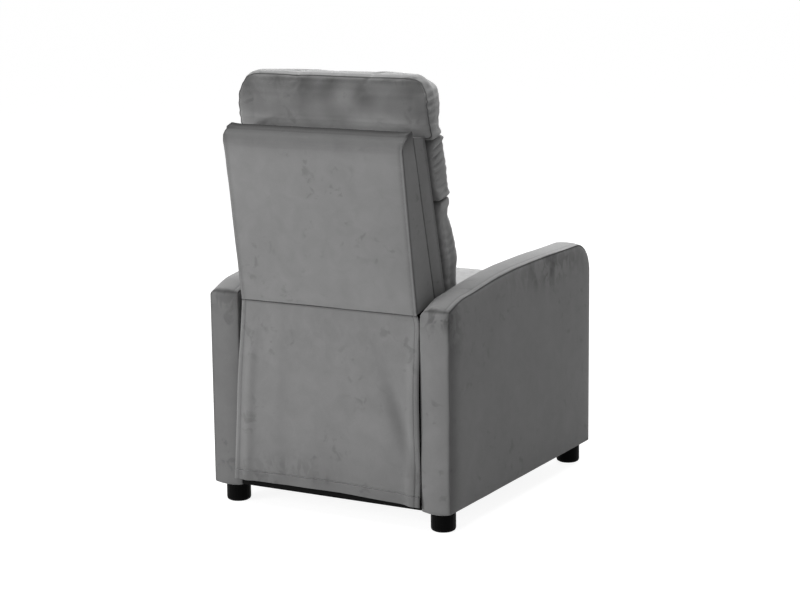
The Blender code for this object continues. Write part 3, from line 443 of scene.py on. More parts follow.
def arm_cover(name, side, seed):
    """One arm's cover; side is 1 for the sitter's left arm."""
    line = arm_line()
    inner, outer = ARM_LOW.x, ARM_OUTER[side]
    piece = begin(name, bpy.ops.mesh.primitive_circle_add, vertices=len(line), fill_type="NGON")
    move_points(piece, np.array([(side * inner, y, z) for y, z in line]))
    bpy.ops.object.mode_set(mode="EDIT")
    bpy.ops.mesh.select_all(action="SELECT")
    bpy.ops.mesh.extrude_region_move(TRANSFORM_OT_translate={"value": (side * (outer - inner), 0.0, 0.0)})
    bpy.ops.mesh.select_all(action="SELECT")
    bpy.ops.mesh.normals_make_consistent(inside=False)
    for edge_x, turn in ((inner, 1.0), (outer, -1.0)):
        for step in (TOP_STITCH - 0.0011, TOP_STITCH, TOP_STITCH + 0.0011, 0.022):
            cut_across(0, side * (edge_x + turn * step))
    for panel_x in (inner, outer):
        shape = bmesh.from_edit_mesh(piece.data)
        bpy.ops.mesh.select_all(action="DESELECT")
        for face in shape.faces:
            if len(face.verts) > 4 and abs(face.calc_center_median().x - side * panel_x) < 0.002:
                face.select_set(True)
        bmesh.update_edit_mesh(piece.data)
        for thickness in (0.0012, 0.0011, 0.0011):
            bpy.ops.mesh.inset(thickness=thickness, depth=0.0)
    for y in np.arange(ARM_LOW.y + 0.022, ARM_HIGH.y - 0.012, 0.026):
        cut_across(1, y)
    rear_top = arm_top(ARM_HIGH.y)
    for z in (*np.arange(ARM_LOW.z + 0.018, ARM_HIGH.z - 0.012, 0.026), rear_top - 0.011, rear_top - 0.019):
        cut_across(2, z)
    bpy.ops.mesh.select_all(action="SELECT")
    bpy.ops.mesh.normals_make_consistent(inside=False)
    bpy.ops.object.mode_set(mode="OBJECT")
    subdivide(piece, 1)
    points = points_of(piece)
    depth, outward = reach_inside(points[:, 1:], line)
    x = side * points[:, 0]
    faces_up, faces_front = outward[:, 1], -outward[:, 0]
    sewn_edge = np.clip(np.maximum(faces_up / 0.3, faces_front / 0.5), 0.0, 1.0) * (faces_up > -0.5)
    on_outer, on_inner = x > outer - 0.0004, x < inner + 0.0004
    panel = np.where(on_outer | on_inner, 1.0, 0.0)
    groove = bump(depth - PANEL_SEAM, 0.0012) * panel * sewn_edge
    crown = 1.0 - np.exp(-np.maximum(depth - PANEL_SEAM, 0.0) / 0.022)
    x = x + on_outer * (ARM_CROWN * crown - OUTER_SEAM_DEPTH * groove) + on_inner * INNER_SEAM_DEPTH * groove
    from_edge = np.minimum(x - inner, outer - x)
    strip = np.where(panel > 0, 0.0, 1.0) * np.clip(1.0 - depth / 0.004, 0.0, 1.0)
    sewn = bump(from_edge - TOP_STITCH, 0.0011) * strip * sewn_edge
    middle = 1.0 - ((x - (inner + outer) / 2) / ((outer - inner) / 2)) ** 2
    lift = strip * (STRIP_CROWN * middle - TOP_STITCH_DEPTH * sewn)
    corner = np.linalg.norm(points[:, 1:] - np.array([ARM_HIGH.y - 0.0012, rear_top - 0.0012]), axis=1)
    join = bump(corner, 0.0032) * strip
    lift -= STRIP_JOIN_DEPTH * join
    soft = ripple(points, 7.0, seed) * 0.0011 + ripple(points, 19.0, seed + 5) * 0.0005
    lift += strip * soft
    face = np.clip((x - (outer - ARM_OUTER_EDGE)) / ARM_OUTER_EDGE, 0.0, 1.0)
    points[:, 0] = side * (x + on_outer * np.clip((depth - 0.009) / 0.03, 0.0, 1.0) * soft)
    points[:, 1:] += outward * lift[:, None]
    below_top = np.array([arm_top(y) for y in points[:, 1]]) - points[:, 2]
    from_rear = ARM_HIGH.y - points[:, 1]
    near_rear = np.clip(1.0 - from_rear / 0.15, 0.0, 1.0)
    if side == 1:
        drawn = rounded(outer - points[:, 0], below_top, ARM_REAR_ROUND[side] * near_rear)
    else:
        points[:, 0] += ARM_REAR_BULGE * near_rear * np.clip(1.0 - (-points[:, 0] - inner) / 0.03, 0.0, 1.0)
        radius = ARM_ROUND + (ARM_REAR_ROUND[side] - ARM_ROUND) * near_rear
        drawn = rounded(-points[:, 0] - inner, below_top, radius)
    points[:, 0] -= drawn[:, 0]
    points[:, 2] -= drawn[:, 1]
    move_points(piece, points)
    # Painted shade in the seam grooves along the sewn edges and across the rear join of the top strip.
    paint_on(piece, "seam", 0.85 * groove + 0.75 * join)
    paint_on(piece, "stitch", 0.40 * sewn)
    behind = bump(from_rear, 0.012) * bump(points[:, 2] - (rear_top - 0.014), 0.024)
    shoulder = face * bump(points[:, 1] + 0.17, 0.15) * bump(below_top - 0.030, 0.034)
    heel = face * bump(from_rear - 0.02, 0.05) * bump(below_top - 0.045, 0.07)
    paint_on(piece, "crush", (0.4 + 0.6 * ARM_RUBBED[side]) * behind + shoulder + 0.6 * heel)
    rubbed = ARM_RUBBED[side] * behind * (0.13 + 0.30 * ripple(points, 30.0, seed + 3))
    streaks = np.maximum(ripple(points * np.array([1.0, 2.6, 1.0]), 19.0, seed + 8) - 0.08, 0.0)
    rubbed += np.minimum(2.4 * streaks, 0.6) * shoulder
    # Painted shade along the rear edge and on the outer panel beside it, plus the real rubbed marks.
    painted_light_and_wear = ARM_REAR_SHADE[side] * bump(from_rear, 0.006) - 0.40 * face * bump(from_rear - 0.008, 0.027) - rubbed
    # A painted sheen lightens the top strip towards the front; painted shade on the left arm's top.
    painted_light_and_wear += strip * (0.42 * bump(points[:, 1] + 0.31, 0.16) + ARM_TOP_SHADE[side])
    paint_on(piece, "painted_light_and_wear", painted_light_and_wear)
    return piece


arm_velvet = velvet("arm_velvet", 0.196)
for arm_name, arm_side, arm_seed in (("left_arm_velvet", 1, 2), ("right_arm_velvet", -1, 4)):
    arm = arm_cover(arm_name, arm_side, arm_seed)
    cover(arm, arm_velvet, "base", [arm_name.replace("velvet", "cover")])

# Cross rails, base plates and drive tube: folded and welded mild steel under black paint. The paint has
# a fine orange peel, is cloudy where it is thin, and has grey scuffs where parts pass close by.
paint = Finish("black_chassis_paint")
paint_place = paint.place()
paint_peel = paint.mottle(paint_place, 520.0, 2.0)
paint_cloud = paint.mottle(paint_place, 30.0, 4.0)
paint_scuff = paint.step(paint.mottle(paint.place((30.0, 190.0, 190.0)), 1.0, 3.0), 0.66, 0.76)
paint.feed(
    paint.shader,
    {
        "Base Color": paint.grey(0.0010 + 0.0014 * paint_cloud + 0.010 * paint_scuff),
        "Roughness": 0.46 + 0.18 * paint_cloud + 0.12 * paint_scuff,
        "Normal": paint.relief(paint_peel, 0.0003, 0.3),
        "Specular IOR Level": 0.05,
    },
)
dress(["left_base_plate", "right_base_plate", "front_rail", "rear_rail", "drive_tube"], paint)

# Linkage, seat plates, brackets and springs: pressed steel strip and wire, zinc plated in a drum, with
# faint spangle, dull streaks along the strip and darker handling marks.
zinc = Finish("zinc_plate")
zinc_spangle = zinc.node("ShaderNodeTexVoronoi", {}, {"Vector": zinc.place(), "Scale": 240.0})
zinc_streak = zinc.mottle(zinc.place((60.0, 240.0, 60.0)), 1.0, 4.0)
zinc_touch = zinc.step(zinc.mottle(zinc.place(), 22.0, 3.0), 0.52, 0.70)
zinc_tone = zinc.between(0.6 * zinc_touch, (0.57, 0.575, 0.585, 1.0), (0.34, 0.335, 0.32, 1.0))
zinc.feed(
    zinc.shader,
    {
        "Base Color": zinc_tone,
        "Metallic": 1.0,
        "Roughness": 0.27 + 0.16 * zinc_streak + 0.12 * zinc_touch,
        "Normal": zinc.relief(0.5 * zinc_spangle + 0.5 * zinc_streak, 0.0002, 0.25),
    },
)
zinc_links = ["rear_swing_link", "front_swing_link", "drive_link", "scissor_link", "carry_link", "tilt_link"]
zinc_links += ["seat_plate", "back_bracket", "footrest_bracket"]
dress([f"{side}_{link}" for side in ("left", "right") for link in zinc_links], zinc)
dress(["seat_spring_1", "seat_spring_2", "seat_spring_3"], zinc)

# Seat: a foam block in a sewn velvet case, seamed round its edge, resting on the seat box between the
# arms. The rail under its front edge is a board wrapped in the same velvet.
SEAT_LOW, SEAT_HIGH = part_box("seat_cushion")
CUSHION_MESH = 0.006
CASE_STIFFNESS = 15.0
FILL_STEPS = 20


def cut_from(name, node, mesh_size, inset):
    """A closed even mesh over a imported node's form, drawn in by an inset, ready to be filled."""
    piece = begin(name, bpy.ops.mesh.primitive_cube_add)
    piece.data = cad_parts[node].data.copy()
    bpy.ops.object.mode_set(mode="EDIT")
    bpy.ops.mesh.select_all(action="SELECT")
    bpy.ops.mesh.remove_doubles(threshold=0.00002)
    bpy.ops.object.mode_set(mode="OBJECT")
    remesh = piece.modifiers.new("Remesh", "REMESH")
    remesh.mode = "VOXEL"
    remesh.voxel_size = mesh_size
    apply_modifiers(piece)
    move_points(piece, points_of(piece) - inset * normals_of(piece))
    return piece


def refit(values, low, high):
    """Spreads values so that they just fill a range."""
    return low + (values - values.min()) * (high - low) / (values.max() - values.min())


def fill_with_foam(piece, cap):
    """Swells a sewn case by cloth simulation; no point ends further than the cap from where it was cut."""
    cut = points_of(piece)
    cloth = piece.modifiers.new("Cloth", "CLOTH")
    cloth.settings.quality = 5
    cloth.settings.mass = 0.3
    cloth.settings.tension_stiffness = CASE_STIFFNESS
    cloth.settings.compression_stiffness = CASE_STIFFNESS
    cloth.settings.shear_stiffness = CASE_STIFFNESS / 3
    cloth.settings.bending_stiffness = 0.6
    cloth.settings.use_pressure = True
    cloth.settings.uniform_pressure_force = 4.0
    cloth.settings.effector_weights.gravity = 0.0
    cloth.collision_settings.use_collision = False
    cloth.point_cache.frame_start = 1
    cloth.point_cache.frame_end = FILL_STEPS
    for step in range(1, FILL_STEPS + 1):
        bpy.context.scene.frame_set(step)
    apply_modifiers(piece)
    bpy.context.scene.frame_set(1)
    moved = points_of(piece) - cut
    length = np.linalg.norm(moved, axis=1)
    held = cap * np.tanh(length / cap) / np.maximum(length, 1e-9)
    move_points(piece, cut + moved * held[:, None])


def facing(piece, direction):
    """How far each point's surface faces a direction, from -1 to 1."""
    return normals_of(piece) @ np.array(direction)


seat_velvet = velvet("seat_velvet", 0.200)
seat = cut_from("seat_velvet_cushion", "seat_cushion", CUSHION_MESH, 0.006)
fill_with_foam(seat, 0.022)
seat_points = points_of(seat)
seat_points[:, 0] = refit(seat_points[:, 0], SEAT_LOW.x - 0.0010, SEAT_HIGH.x + 0.0010)
seat_points[:, 1] = refit(seat_points[:, 1], SEAT_LOW.y - 0.0040, SEAT_HIGH.y)
seat_points[:, 2] = refit(seat_points[:, 2], SEAT_LOW.z - 0.0020, SEAT_HIGH.z + 0.0060)
seat_points[:, 2] = np.maximum(seat_points[:, 2], SEAT_LOW.z + 0.0006)
move_points(seat, seat_points)
subdivide(seat, 1)
seat_points, seat_up = points_of(seat), facing(seat, (0.0, 0.0, 1.0))
seat_ahead = facing(seat, (0.0, -1.0, 0.0))
seat_edge = bump(np.abs(seat_up) - 0.62, 0.13) * (seat_points[:, 1] < SEAT_HIGH.y - 0.09)
seat_gather = np.sin(seat_points[:, 0] * 2 * math.pi / 0.031 + 2.0 * ripple(seat_points, 12.0, 3))
seat_gather *= bump(np.abs(seat_up) - 0.45, 0.25) * np.clip(seat_ahead, 0.0, 1.0)
seat_lift = -0.0022 * seat_edge + 0.0005 * seat_gather + 0.0016 * ripple(seat_points, 9.0, 8)
move_points(seat, seat_points + seat_lift[:, None] * normals_of(seat))
# Painted shade in the seam round the edge.
paint_on(seat, "seam", 0.55 * seat_edge)
paint_on(seat, "crush", np.clip(0.4 * ripple(seat_points, 5.0, 1), 0.0, 1.0) * (seat_up > 0.7))
# A painted sheen lightens the top.
paint_on(seat, "painted_light_and_wear", 0.80 * np.clip(seat_up, 0.0, 1.0))
cover(seat, seat_velvet, "seat", ["seat_cushion"])
dress(["seat_front_rail"], seat_velvet)

# Footrest: a padded board that hangs flush below the seat front when folded. Foam under velvet, drawn
# over the board's edges, with a sewn edge line round its face.
PAD_LOW, PAD_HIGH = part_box("footrest_pad")
footrest_velvet = velvet("footrest_velvet", 0.196)
rest_pad = cut_from("footrest_velvet_pad", "footrest_pad", CUSHION_MESH, 0.004)
fill_with_foam(rest_pad, 0.012)
rest_points = points_of(rest_pad)
for axis in range(3):
    rest_points[:, axis] = refit(rest_points[:, axis], PAD_LOW[axis], PAD_HIGH[axis])
move_points(rest_pad, rest_points)
subdivide(rest_pad, 1)
rest_points, rest_ahead = points_of(rest_pad), facing(rest_pad, (0.0, -1.0, 0.0))
rest_edge = bump(rest_ahead - 0.60, 0.13)
rest_lift = -0.0020 * rest_edge + 0.0010 * ripple(rest_points, 11.0, 6) * np.clip(rest_ahead, 0.0, 1.0)
move_points(rest_pad, rest_points + rest_lift[:, None] * normals_of(rest_pad))
# Painted shade in the seam round the face.
paint_on(rest_pad, "seam", 0.5 * rest_edge)
cover(rest_pad, footrest_velvet, "footrest", ["footrest_pad"])
dress(["footrest_board"], footrest_velvet)

# Back webbing: four bands of black woven elastic stapled across the stiles behind the foam. The weave
# shows as fine ribs across the band.
band = Finish("black_elastic_webbing")
band_rib = band.mottle(band.place((40.0, 40.0, 900.0)), 1.0, 1.0)
band_cross = band.mottle(band.place((700.0, 60.0, 60.0)), 1.0, 1.0)
band.feed(
    band.shader,
    {
        "Base Color": band.grey(0.016 + 0.03 * band_rib + 0.014 * band_cross),
        "Roughness": 0.78 + 0.16 * band_rib,
        "Normal": band.relief(0.6 * band_rib + 0.4 * band_cross, 0.0006, 0.6),
    },
)
dress(["back_strap_1", "back_strap_2", "back_strap_3", "back_strap_4"], band)

# Back shell: the wedge-shaped outside of the back, velvet over hardboard and thin wadding. A rear panel
# is sewn to side panels and a sloped top strip, and the top corners are pinched into small ears.
HIP = (0.23527, 0.36)
RAKE = math.radians(14.0)
SHELL_HALF = 0.2253
SHELL_FRONT = -0.017
SHELL_FOOT = (0.0667, 0.141)
SHELL_HEAD = (0.0319, 0.5272)
SHELL_RIDGE = 0.531
SHELL_ROLL = 0.024
SHELL_CROWN = 0.0050
EAR_OUT, EAR_BACK, EAR_UP = 0.0045, 0.0020, 0.0035


def on_back(along, up):
    """A point (y, z) from its place along the back's depth and up its length."""
    y = HIP[0] + along * math.cos(RAKE) + up * math.sin(RAKE)
    return y, HIP[1] - along * math.sin(RAKE) + up * math.cos(RAKE)


def place_on_back(points):
    """Places along the back's depth and up its length, of an array of points."""
    y, z = points[:, 1] - HIP[0], points[:, 2] - HIP[1]
    return y * math.cos(RAKE) - z * math.sin(RAKE), y * math.sin(RAKE) + z * math.cos(RAKE)


def back_points(across, along, up):
    """Points in the row frame from their places across, along the depth of and up the back."""
    y, z = on_back(along, up)
    return np.stack([across, y, z], axis=1)


def cut_block(name, cuts):
    """A cube from -1 to 1, cut by planes across each axis so that it can be shaped."""
    piece = begin(name, bpy.ops.mesh.primitive_cube_add, size=2.0)
    bpy.ops.object.mode_set(mode="EDIT")
    for axis, places in enumerate(cuts):
        for place in places:
            cut_across(axis, place)
    bpy.ops.object.mode_set(mode="OBJECT")
    return piece


def both_ways(places):
    return sorted({sign * place for place in places for sign in (-1, 1)})


shell_cuts = (
    both_ways((0.0, 0.25, 0.5, 0.72, 0.87, 0.94, 0.972, 0.988)),
    (-0.9, -0.6, -0.2, 0.2, 0.55, 0.78, 0.86, 0.895, 0.93, 0.972),
    (-0.988, -0.96, -0.87, -0.65, -0.35, 0.0, 0.35, 0.65, 0.82, 0.92),
)
shell = cut_block("back_velvet_shell", shell_cuts)
a, b, c = points_of(shell).T
shell_up = (c + 1.0) / 2.0
shell_rear = SHELL_FOOT[0] + (SHELL_HEAD[0] - SHELL_FOOT[0]) * shell_up
shell_depth = (b + 1.0) / 2.0
along = SHELL_FRONT + (shell_rear - SHELL_FRONT) * shell_depth
shell_top = SHELL_RIDGE + (SHELL_HEAD[1] - SHELL_RIDGE) * shell_depth
up = SHELL_FOOT[1] + (shell_top - SHELL_FOOT[1]) * shell_up
on_rear, on_side, on_top = b > 0.999, np.abs(a) > 0.999, c > 0.999
along = along + on_rear * SHELL_CROWN * (1.0 - a**6) * (1.0 - c**8)
piping = bump(b - 0.895, 0.03)
inward = on_side * (0.0020 * piping + 0.0012 * (1.0 - b**2) * (1.0 - c**4))
ear = bump(1.0 - np.abs(a), 0.05) * bump(1.0 - c, 0.055)
across = a * SHELL_HALF - np.sign(a) * inward + np.sign(a) * EAR_OUT * ear
up = up + EAR_UP * ear
along = along + EAR_BACK * ear
shell_seam = piping * on_side + on_side * on_top * 0.8
move_points(shell, back_points(across, along, up))
# Painted shade in the seams down the sides and along their tops.
paint_on(shell, "seam", 0.75 * shell_seam)
paint_on(shell, "stitch", 0.7 * bump(np.abs(a) - 0.972, 0.007) * on_rear)
subdivide(shell, 2)
shell_points = points_of(shell)
shell_along, shell_rise = place_on_back(shell_points)
shell_share = (shell_rise - SHELL_FOOT[1]) / (SHELL_HEAD[1] - SHELL_FOOT[1])
shell_plane = SHELL_FOOT[0] + (SHELL_HEAD[0] - SHELL_FOOT[0]) * shell_share
drawn = rounded(shell_plane - shell_along, SHELL_HEAD[1] - shell_rise, SHELL_ROLL)
shell_points = back_points(shell_points[:, 0], shell_along - drawn[:, 0], shell_rise - drawn[:, 1])
move_points(shell, shell_points)
# Painted shade: the top strip darkens as it turns up to the ridge, less towards the rear, with shade under the brow
# and a little on the sides.
shell_slope = np.clip(1.25 * facing(shell, (0.0, math.sin(RAKE), math.cos(RAKE))), 0.0, 1.0)
shell_brow = bump(SHELL_RIDGE - shell_rise, 0.029) * (1.0 - shell_slope)
shell_brow *= 0.40 + 0.16 * ripple(shell_points, 16.0, 14)
shell_outside = np.abs(facing(shell, (1.0, 0.0, 0.0)))
shell_fade = np.clip((shell_along - SHELL_FRONT) / 0.044, 0.0, 1.0)
paint_on(shell, "painted_light_and_wear", -shell_slope * (1.0 - 0.42 * shell_fade) - shell_brow - 0.05 * shell_outside)
# Painted shade in the seams along the corner edges.
shell_corner = 0.5 * bump(SHELL_HALF - np.abs(shell_points[:, 0]), 0.0016) * (shell_outside < 0.9)
shell_corner *= shell_rise > SHELL_FOOT[1] + 0.004
seam_layer = shell.data.attributes["seam"]
seam_share = np.empty(len(shell_points), dtype=np.float32)
seam_layer.data.foreach_get("value", seam_share)
seam_layer.data.foreach_set("value", np.clip(seam_share + shell_corner, 0.0, 1.0).astype(np.float32))
shell_soft = 0.0011 * ripple(shell_points, 6.0, 11) + 0.0006 * ripple(shell_points, 21.0, 12)
move_points(shell, shell_points + shell_soft[:, None] * normals_of(shell))
shell_velvet = velvet("shell_velvet", 0.238, 0.10)
shell_nodes = ["back_rear_panel", "back_left_side_pad", "back_right_side_pad", "back_top_pad"]
cover(shell, shell_velvet, "back", shell_nodes)

# Back foam: the thick foam body in front of the shell, in a velvet gusset whose sides show between
# shell and cushions. A stitched seam runs down each side.
FOAM_HALF = 0.2283
FOAM_REAR, FOAM_FRONT = -0.0188, -0.0655
FOAM_LOW, FOAM_HIGH = 0.067, 0.4836
FOAM_CLIMB = 0.0175
FOAM_RISE = 0.0168
FOAM_SETTLE, FOAM_SWELL = 0.0018, 0.0024
foam_cuts = (
    both_ways((0.0, 0.4, 0.75, 0.93, 0.98)),
    (-0.93, -0.75, -0.4, 0.0, 0.4, 0.75, 0.93),
    (-0.985, -0.93, -0.6, -0.2, 0.2, 0.6, 0.93, 0.985),
)
gusset = cut_block("back_velvet_gusset", foam_cuts)
a, b, c = points_of(gusset).T
swell = np.abs(a) ** 12 * (1.0 - b**2) * (1.0 - c**6)
across = a * (FOAM_HALF - FOAM_SETTLE) + np.sign(a) * FOAM_SWELL * swell
along = (FOAM_REAR + FOAM_FRONT) / 2 + b * (FOAM_REAR - FOAM_FRONT) / 2
up = (FOAM_LOW + FOAM_HIGH) / 2 + c * (FOAM_HIGH - FOAM_LOW) / 2
up = up + (FOAM_RISE + FOAM_CLIMB * (b + 1.0) / 2.0) * np.clip((c - 0.6) / 0.4, 0.0, 1.0)
move_points(gusset, back_points(across, along, up))
paint_on(gusset, "stitch", bump(b + 0.75, 0.12) * (np.abs(a) > 0.999))
# Painted shade over the gusset, deeper on its top under the cushions.
paint_on(gusset, "painted_light_and_wear", -0.16 - 0.34 * (c > 0.999))
subdivide(gusset, 2)
cover(gusset, shell_velvet, "back", ["back_foam"])

# Back cushions: three stuffed velvet cases, lumbar, upper and head, sewn side by side on the gusset.
# The head cushion has a boxed edge, with a welt round its rear panel and gathers in its sides.
HEAD_MESH = 0.0046
HEAD_CORNER = 0.046
HEAD_SETTLE = 0.0055
HEAD_TUCK, HEAD_TUCK_RISE = 0.0040, 0.525
HEAD_LIP = 0.0060
HEAD_EDGE, PILLOW_EDGE = 0.042, 0.030
HEAD_GATHER, PILLOW_GATHER = 0.0024, 0.0038
PILLOW_BULGE = 0.0068
SPLIT_CLIMB = 0.0070
GATHER_PITCH = 0.019
GATHERS = {"lumbar_cushion": 0.40, "upper_back_cushion": 1.2, "head_cushion": 1.0}


def rim_reach(marks, half, rise, low_corner, high_corner):
    """How far a rectangle with rounded corners reaches from its middle at each turn, in half sides."""
    tries = np.linspace(0.6, 1.5, 901)
    wide, tall = half * np.outer(np.cos(marks), tries), rise * np.outer(np.sin(marks), tries)
    corner = np.where(tall > 0, high_corner, low_corner)
    past = np.maximum(np.abs(wide) - half + corner, 0.0), np.maximum(np.abs(tall) - rise + corner, 0.0)
    return tries[(np.hypot(*past) <= corner).sum(axis=1) - 1]


def fit_outline(across, up, half, low, high, low_corner, high_corner):
    """Spreads a form from its middle until its outline is a rectangle with these rounded corners."""
    middle, rise = (low + high) / 2, (high - low) / 2
    level = (up - middle) / rise
    turn, reach = np.arctan2(level, across / half), np.hypot(across / half, level)
    marks = np.linspace(-math.pi, math.pi, 181)
    apart = (np.abs((turn - mark + math.pi) % (2 * math.pi) - math.pi) for mark in marks)
    found = np.array([reach[gap < 0.03].max() for gap in apart])
    found = np.concatenate([found[-4:-1], found, found[1:4]])
    found = np.convolve(found, np.array([1, 2, 3, 4, 3, 2, 1]) / 16, "valid")
    wanted = rim_reach(marks, half, rise, low_corner, high_corner)
    spread = np.interp(turn, marks, wanted / found) - 1.0
    spread = 1.0 + spread * np.clip(reach / np.interp(turn, marks, found), 0.0, 1.0) ** 2
    return across * spread, middle + (up - middle) * spread


def square_edge(across, up, ahead, half, low, high, low_corner, high_corner, size):
    """Squares the rounded edge between a cushion's rear and its sides, over a band of this size."""
    middle, rise = (low + high) / 2, (high - low) / 2
    corner = np.where(up > middle, high_corner, low_corner)
    past = np.stack([np.abs(across) - half, np.abs(up - middle) - rise], axis=1) + corner[:, None]
    over = np.maximum(past, 0.0)
    depth = corner - np.linalg.norm(over, axis=1) - np.minimum(past.max(axis=1), 0.0)
    lead = np.where((past > 0).all(axis=1)[:, None], over, past == past.max(axis=1, keepdims=True))
    lead = lead / np.maximum(np.linalg.norm(lead, axis=1, keepdims=True), 1e-9)
    lead = lead * np.sign(np.stack([across, up - middle], axis=1))
    inward, back = 1.0 - depth / size, 1.0 - ahead / size
    band = (inward > 0) & (back > 0)
    reach = np.where(band, (np.abs(inward) ** 14 + np.abs(back) ** 14 + 1e-12) ** (-1.0 / 14), 0.0)
    shares = np.clip(inward, 0.0, 1.0), np.clip(back, 0.0, 1.0)
    ease = [1.0 - (1.0 - share) ** 2 * (1.0 + 2.0 * share) for share in shares]
    hold = np.where(band, 0.96 * np.sqrt(ease[0] * ease[1]), 0.0)
    step = hold * inward * (reach - 1.0) * size
    return across + lead[:, 0] * step, up + lead[:, 1] * step, ahead - hold * back * (reach - 1.0) * size


def pillow(name, node, head, seed):
    """One stuffed back cushion, from its packed form; the head cushion stands free of the gusset."""
    packed = points_of(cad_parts[node])
    packed_along, packed_up = place_on_back(packed)
    piece = cut_from(name, node, HEAD_MESH if head else CUSHION_MESH, 0.004)
    fill_with_foam(piece, 0.015)
    points = points_of(piece)
    along, up = place_on_back(points)
    across = refit(points[:, 0], packed[:, 0].min(), packed[:, 0].max())
    along = refit(along, packed_along.min() - 0.004, packed_along.max())
    low, high = packed_up.min() + 0.0002, packed_up.max() - (HEAD_SETTLE if head else 0.0)
    up = refit(up, low, high)
    half = packed[:, 0].max()
    corners = (0.008, HEAD_CORNER) if head else (0.012, 0.009)
    across, up = fit_outline(across, up, half, low, high, *corners)
    steps = np.linspace(up.min(), up.max(), 31)
    rears = np.array([along[np.abs(up - step) < 0.006].max() for step in steps])
    ahead = np.interp(up, steps, rears) - along
    across, up, ahead = square_edge(across, up, ahead, half, low, high, *corners, HEAD_EDGE if head else PILLOW_EDGE)
    if head:
        flat = rears.max() - HEAD_TUCK * np.clip((HEAD_TUCK_RISE - steps) / 0.02, 0.0, 1.0)
        rears = np.where(steps < steps[rears.argmax()], np.maximum(rears, flat), rears)
    along = np.interp(up, steps, rears) - ahead
    across, up = np.clip(across, -half, half), np.clip(up, low, high)
    share = 2.0 * (up - low) / (high - low) - 1.0
    lip = np.clip(1.0 - ahead / 0.035, 0.0, 1.0) * np.clip((share - 0.6) / 0.4, 0.0, 1.0)
    up = up + HEAD_LIP * head * lip
    raised = {"head_cushion": np.clip(-share, 0.0, 1.0), "upper_back_cushion": np.clip(share, 0.0, 1.0)}
    up = up + SPLIT_CLIMB * np.clip(1.0 - ahead / 0.098, 0.0, 1.0) * raised.get(node, 0.0)
    clear_of_arms = np.clip((up - 0.16) / 0.045, 0.0, 1.0) * (not head)
    across = across * (1.0 + PILLOW_BULGE / half * clear_of_arms**2 * (3.0 - 2.0 * clear_of_arms))
    move_points(piece, back_points(across, along, up))
    subdivide(piece, 1)
    points = points_of(piece)
    along, up = place_on_back(points)
    ahead = np.interp(up, steps, rears) - along
    outside = np.abs(facing(piece, (1.0, 0.0, 0.0)))
    behind = facing(piece, (0.0, math.cos(RAKE), -math.sin(RAKE)))
    wave = np.sin(up * 2 * math.pi / GATHER_PITCH + 3.0 * ripple(points, 14.0, seed))
    wave *= 0.55 + 0.6 * ripple(points, 22.0, seed + 7)
    wave *= GATHERS[node] * bump(ahead - 0.024, 0.034) * np.clip(outside, 0.0, 1.0) ** 2
    lift = (HEAD_GATHER if head else PILLOW_GATHER) * wave + 0.0013 * ripple(points, 10.0, seed + 2)
    lift *= np.where(behind > 0.7, 0.6 * head, 1.0)
    move_points(piece, points + lift[:, None] * normals_of(piece))
    rear_face = np.clip((behind - 0.55) / 0.25, 0.0, 1.0) * head
    upper = np.clip((up - low) / (high - low), 0.0, 1.0)
    blotches = np.clip(0.35 + 0.9 * ripple(points, 8.0, seed + 4), 0.0, 1.0)
    paint_on(piece, "crush", 0.9 * rear_face * upper * blotches)
    # Painted light and shade on the head's rear panel: darker towards the top, lighter lower down, each end in its
    # own tone, with random patches.
    shading = -0.33 - np.where(upper > 0.6, 1.1, 2.0) * (upper - 0.6)
    left_end, right_end = (np.clip((turn * points[:, 0] / half - 0.45) / 0.4, 0.0, 1.0) for turn in (1, -1))
    shading += left_end * (-0.14 - 0.75 * (upper - 0.55) - shading)
    shading += right_end * (-0.30 - 0.65 * (upper - 0.5) - shading)
    shading += 0.32 * ripple(points, 7.0, seed + 9) + 0.30 * ripple(points, 18.0, seed + 6)
    # Painted light on the cushions' sides and painted shade on the head's top.
    topside = np.clip(facing(piece, (0.0, math.sin(RAKE), math.cos(RAKE))), 0.0, 1.0) * head
    painted_light_and_wear = rear_face * shading + (1.0 - rear_face) * (0.34 * outside - 0.13 * topside)
    # Painted shade in the creases of the gathers and a painted highlight on their ridges.
    paint_on(piece, "painted_light_and_wear", painted_light_and_wear - 0.36 * np.maximum(-wave, 0.0) + 0.10 * np.maximum(wave, 0.0))
    return piece


cushion_velvet = velvet("cushion_velvet", 0.214)
for pillow_name, pillow_node in (
    ("lumbar_velvet_cushion", "lumbar_cushion"),
    ("upper_back_velvet_cushion", "upper_back_cushion"),
    ("head_velvet_cushion", "head_cushion"),
):
    made = pillow(pillow_name, pillow_node, pillow_node == "head_cushion", len(pillow_name))
    cover(made, cushion_velvet, "back", [pillow_node])

# Head cushion welt: a thin velvet-covered cord sewn into the seam between the head cushion's rear panel
# and its boxed edge, all the way round. Its velvet is darkened with painted shade, so the cord reads as
# the shaded seam.
WELT_RADIUS = 0.0014
WELT_INSET = 0.0022
WELT_POINTS = 240
welt = begin("head_cushion_shade_welt", bpy.ops.mesh.primitive_circle_add, vertices=WELT_POINTS, fill_type="NOTHING")
head_along, head_rise = place_on_back(points_of(made))
head_half = np.abs(points_of(made)[:, 0]).max() - WELT_INSET
head_low, head_high = head_rise.min() + SPLIT_CLIMB + WELT_INSET, head_rise.max() - WELT_INSET
welt_turn = np.linspace(-math.pi, math.pi, WELT_POINTS + 1)[:-1]
welt_reach = rim_reach(welt_turn, head_half, (head_high - head_low) / 2, 0.012, HEAD_CORNER)
welt_across = head_half * welt_reach * np.cos(welt_turn)
welt_up = (head_low + head_high) / 2 + (head_high - head_low) / 2 * welt_reach * np.sin(welt_turn)
welt_along = np.array([head_along[np.abs(head_rise - rise) < 0.006].max() for rise in welt_up]) - WELT_INSET
welt_path = back_points(welt_across, welt_along, welt_up)
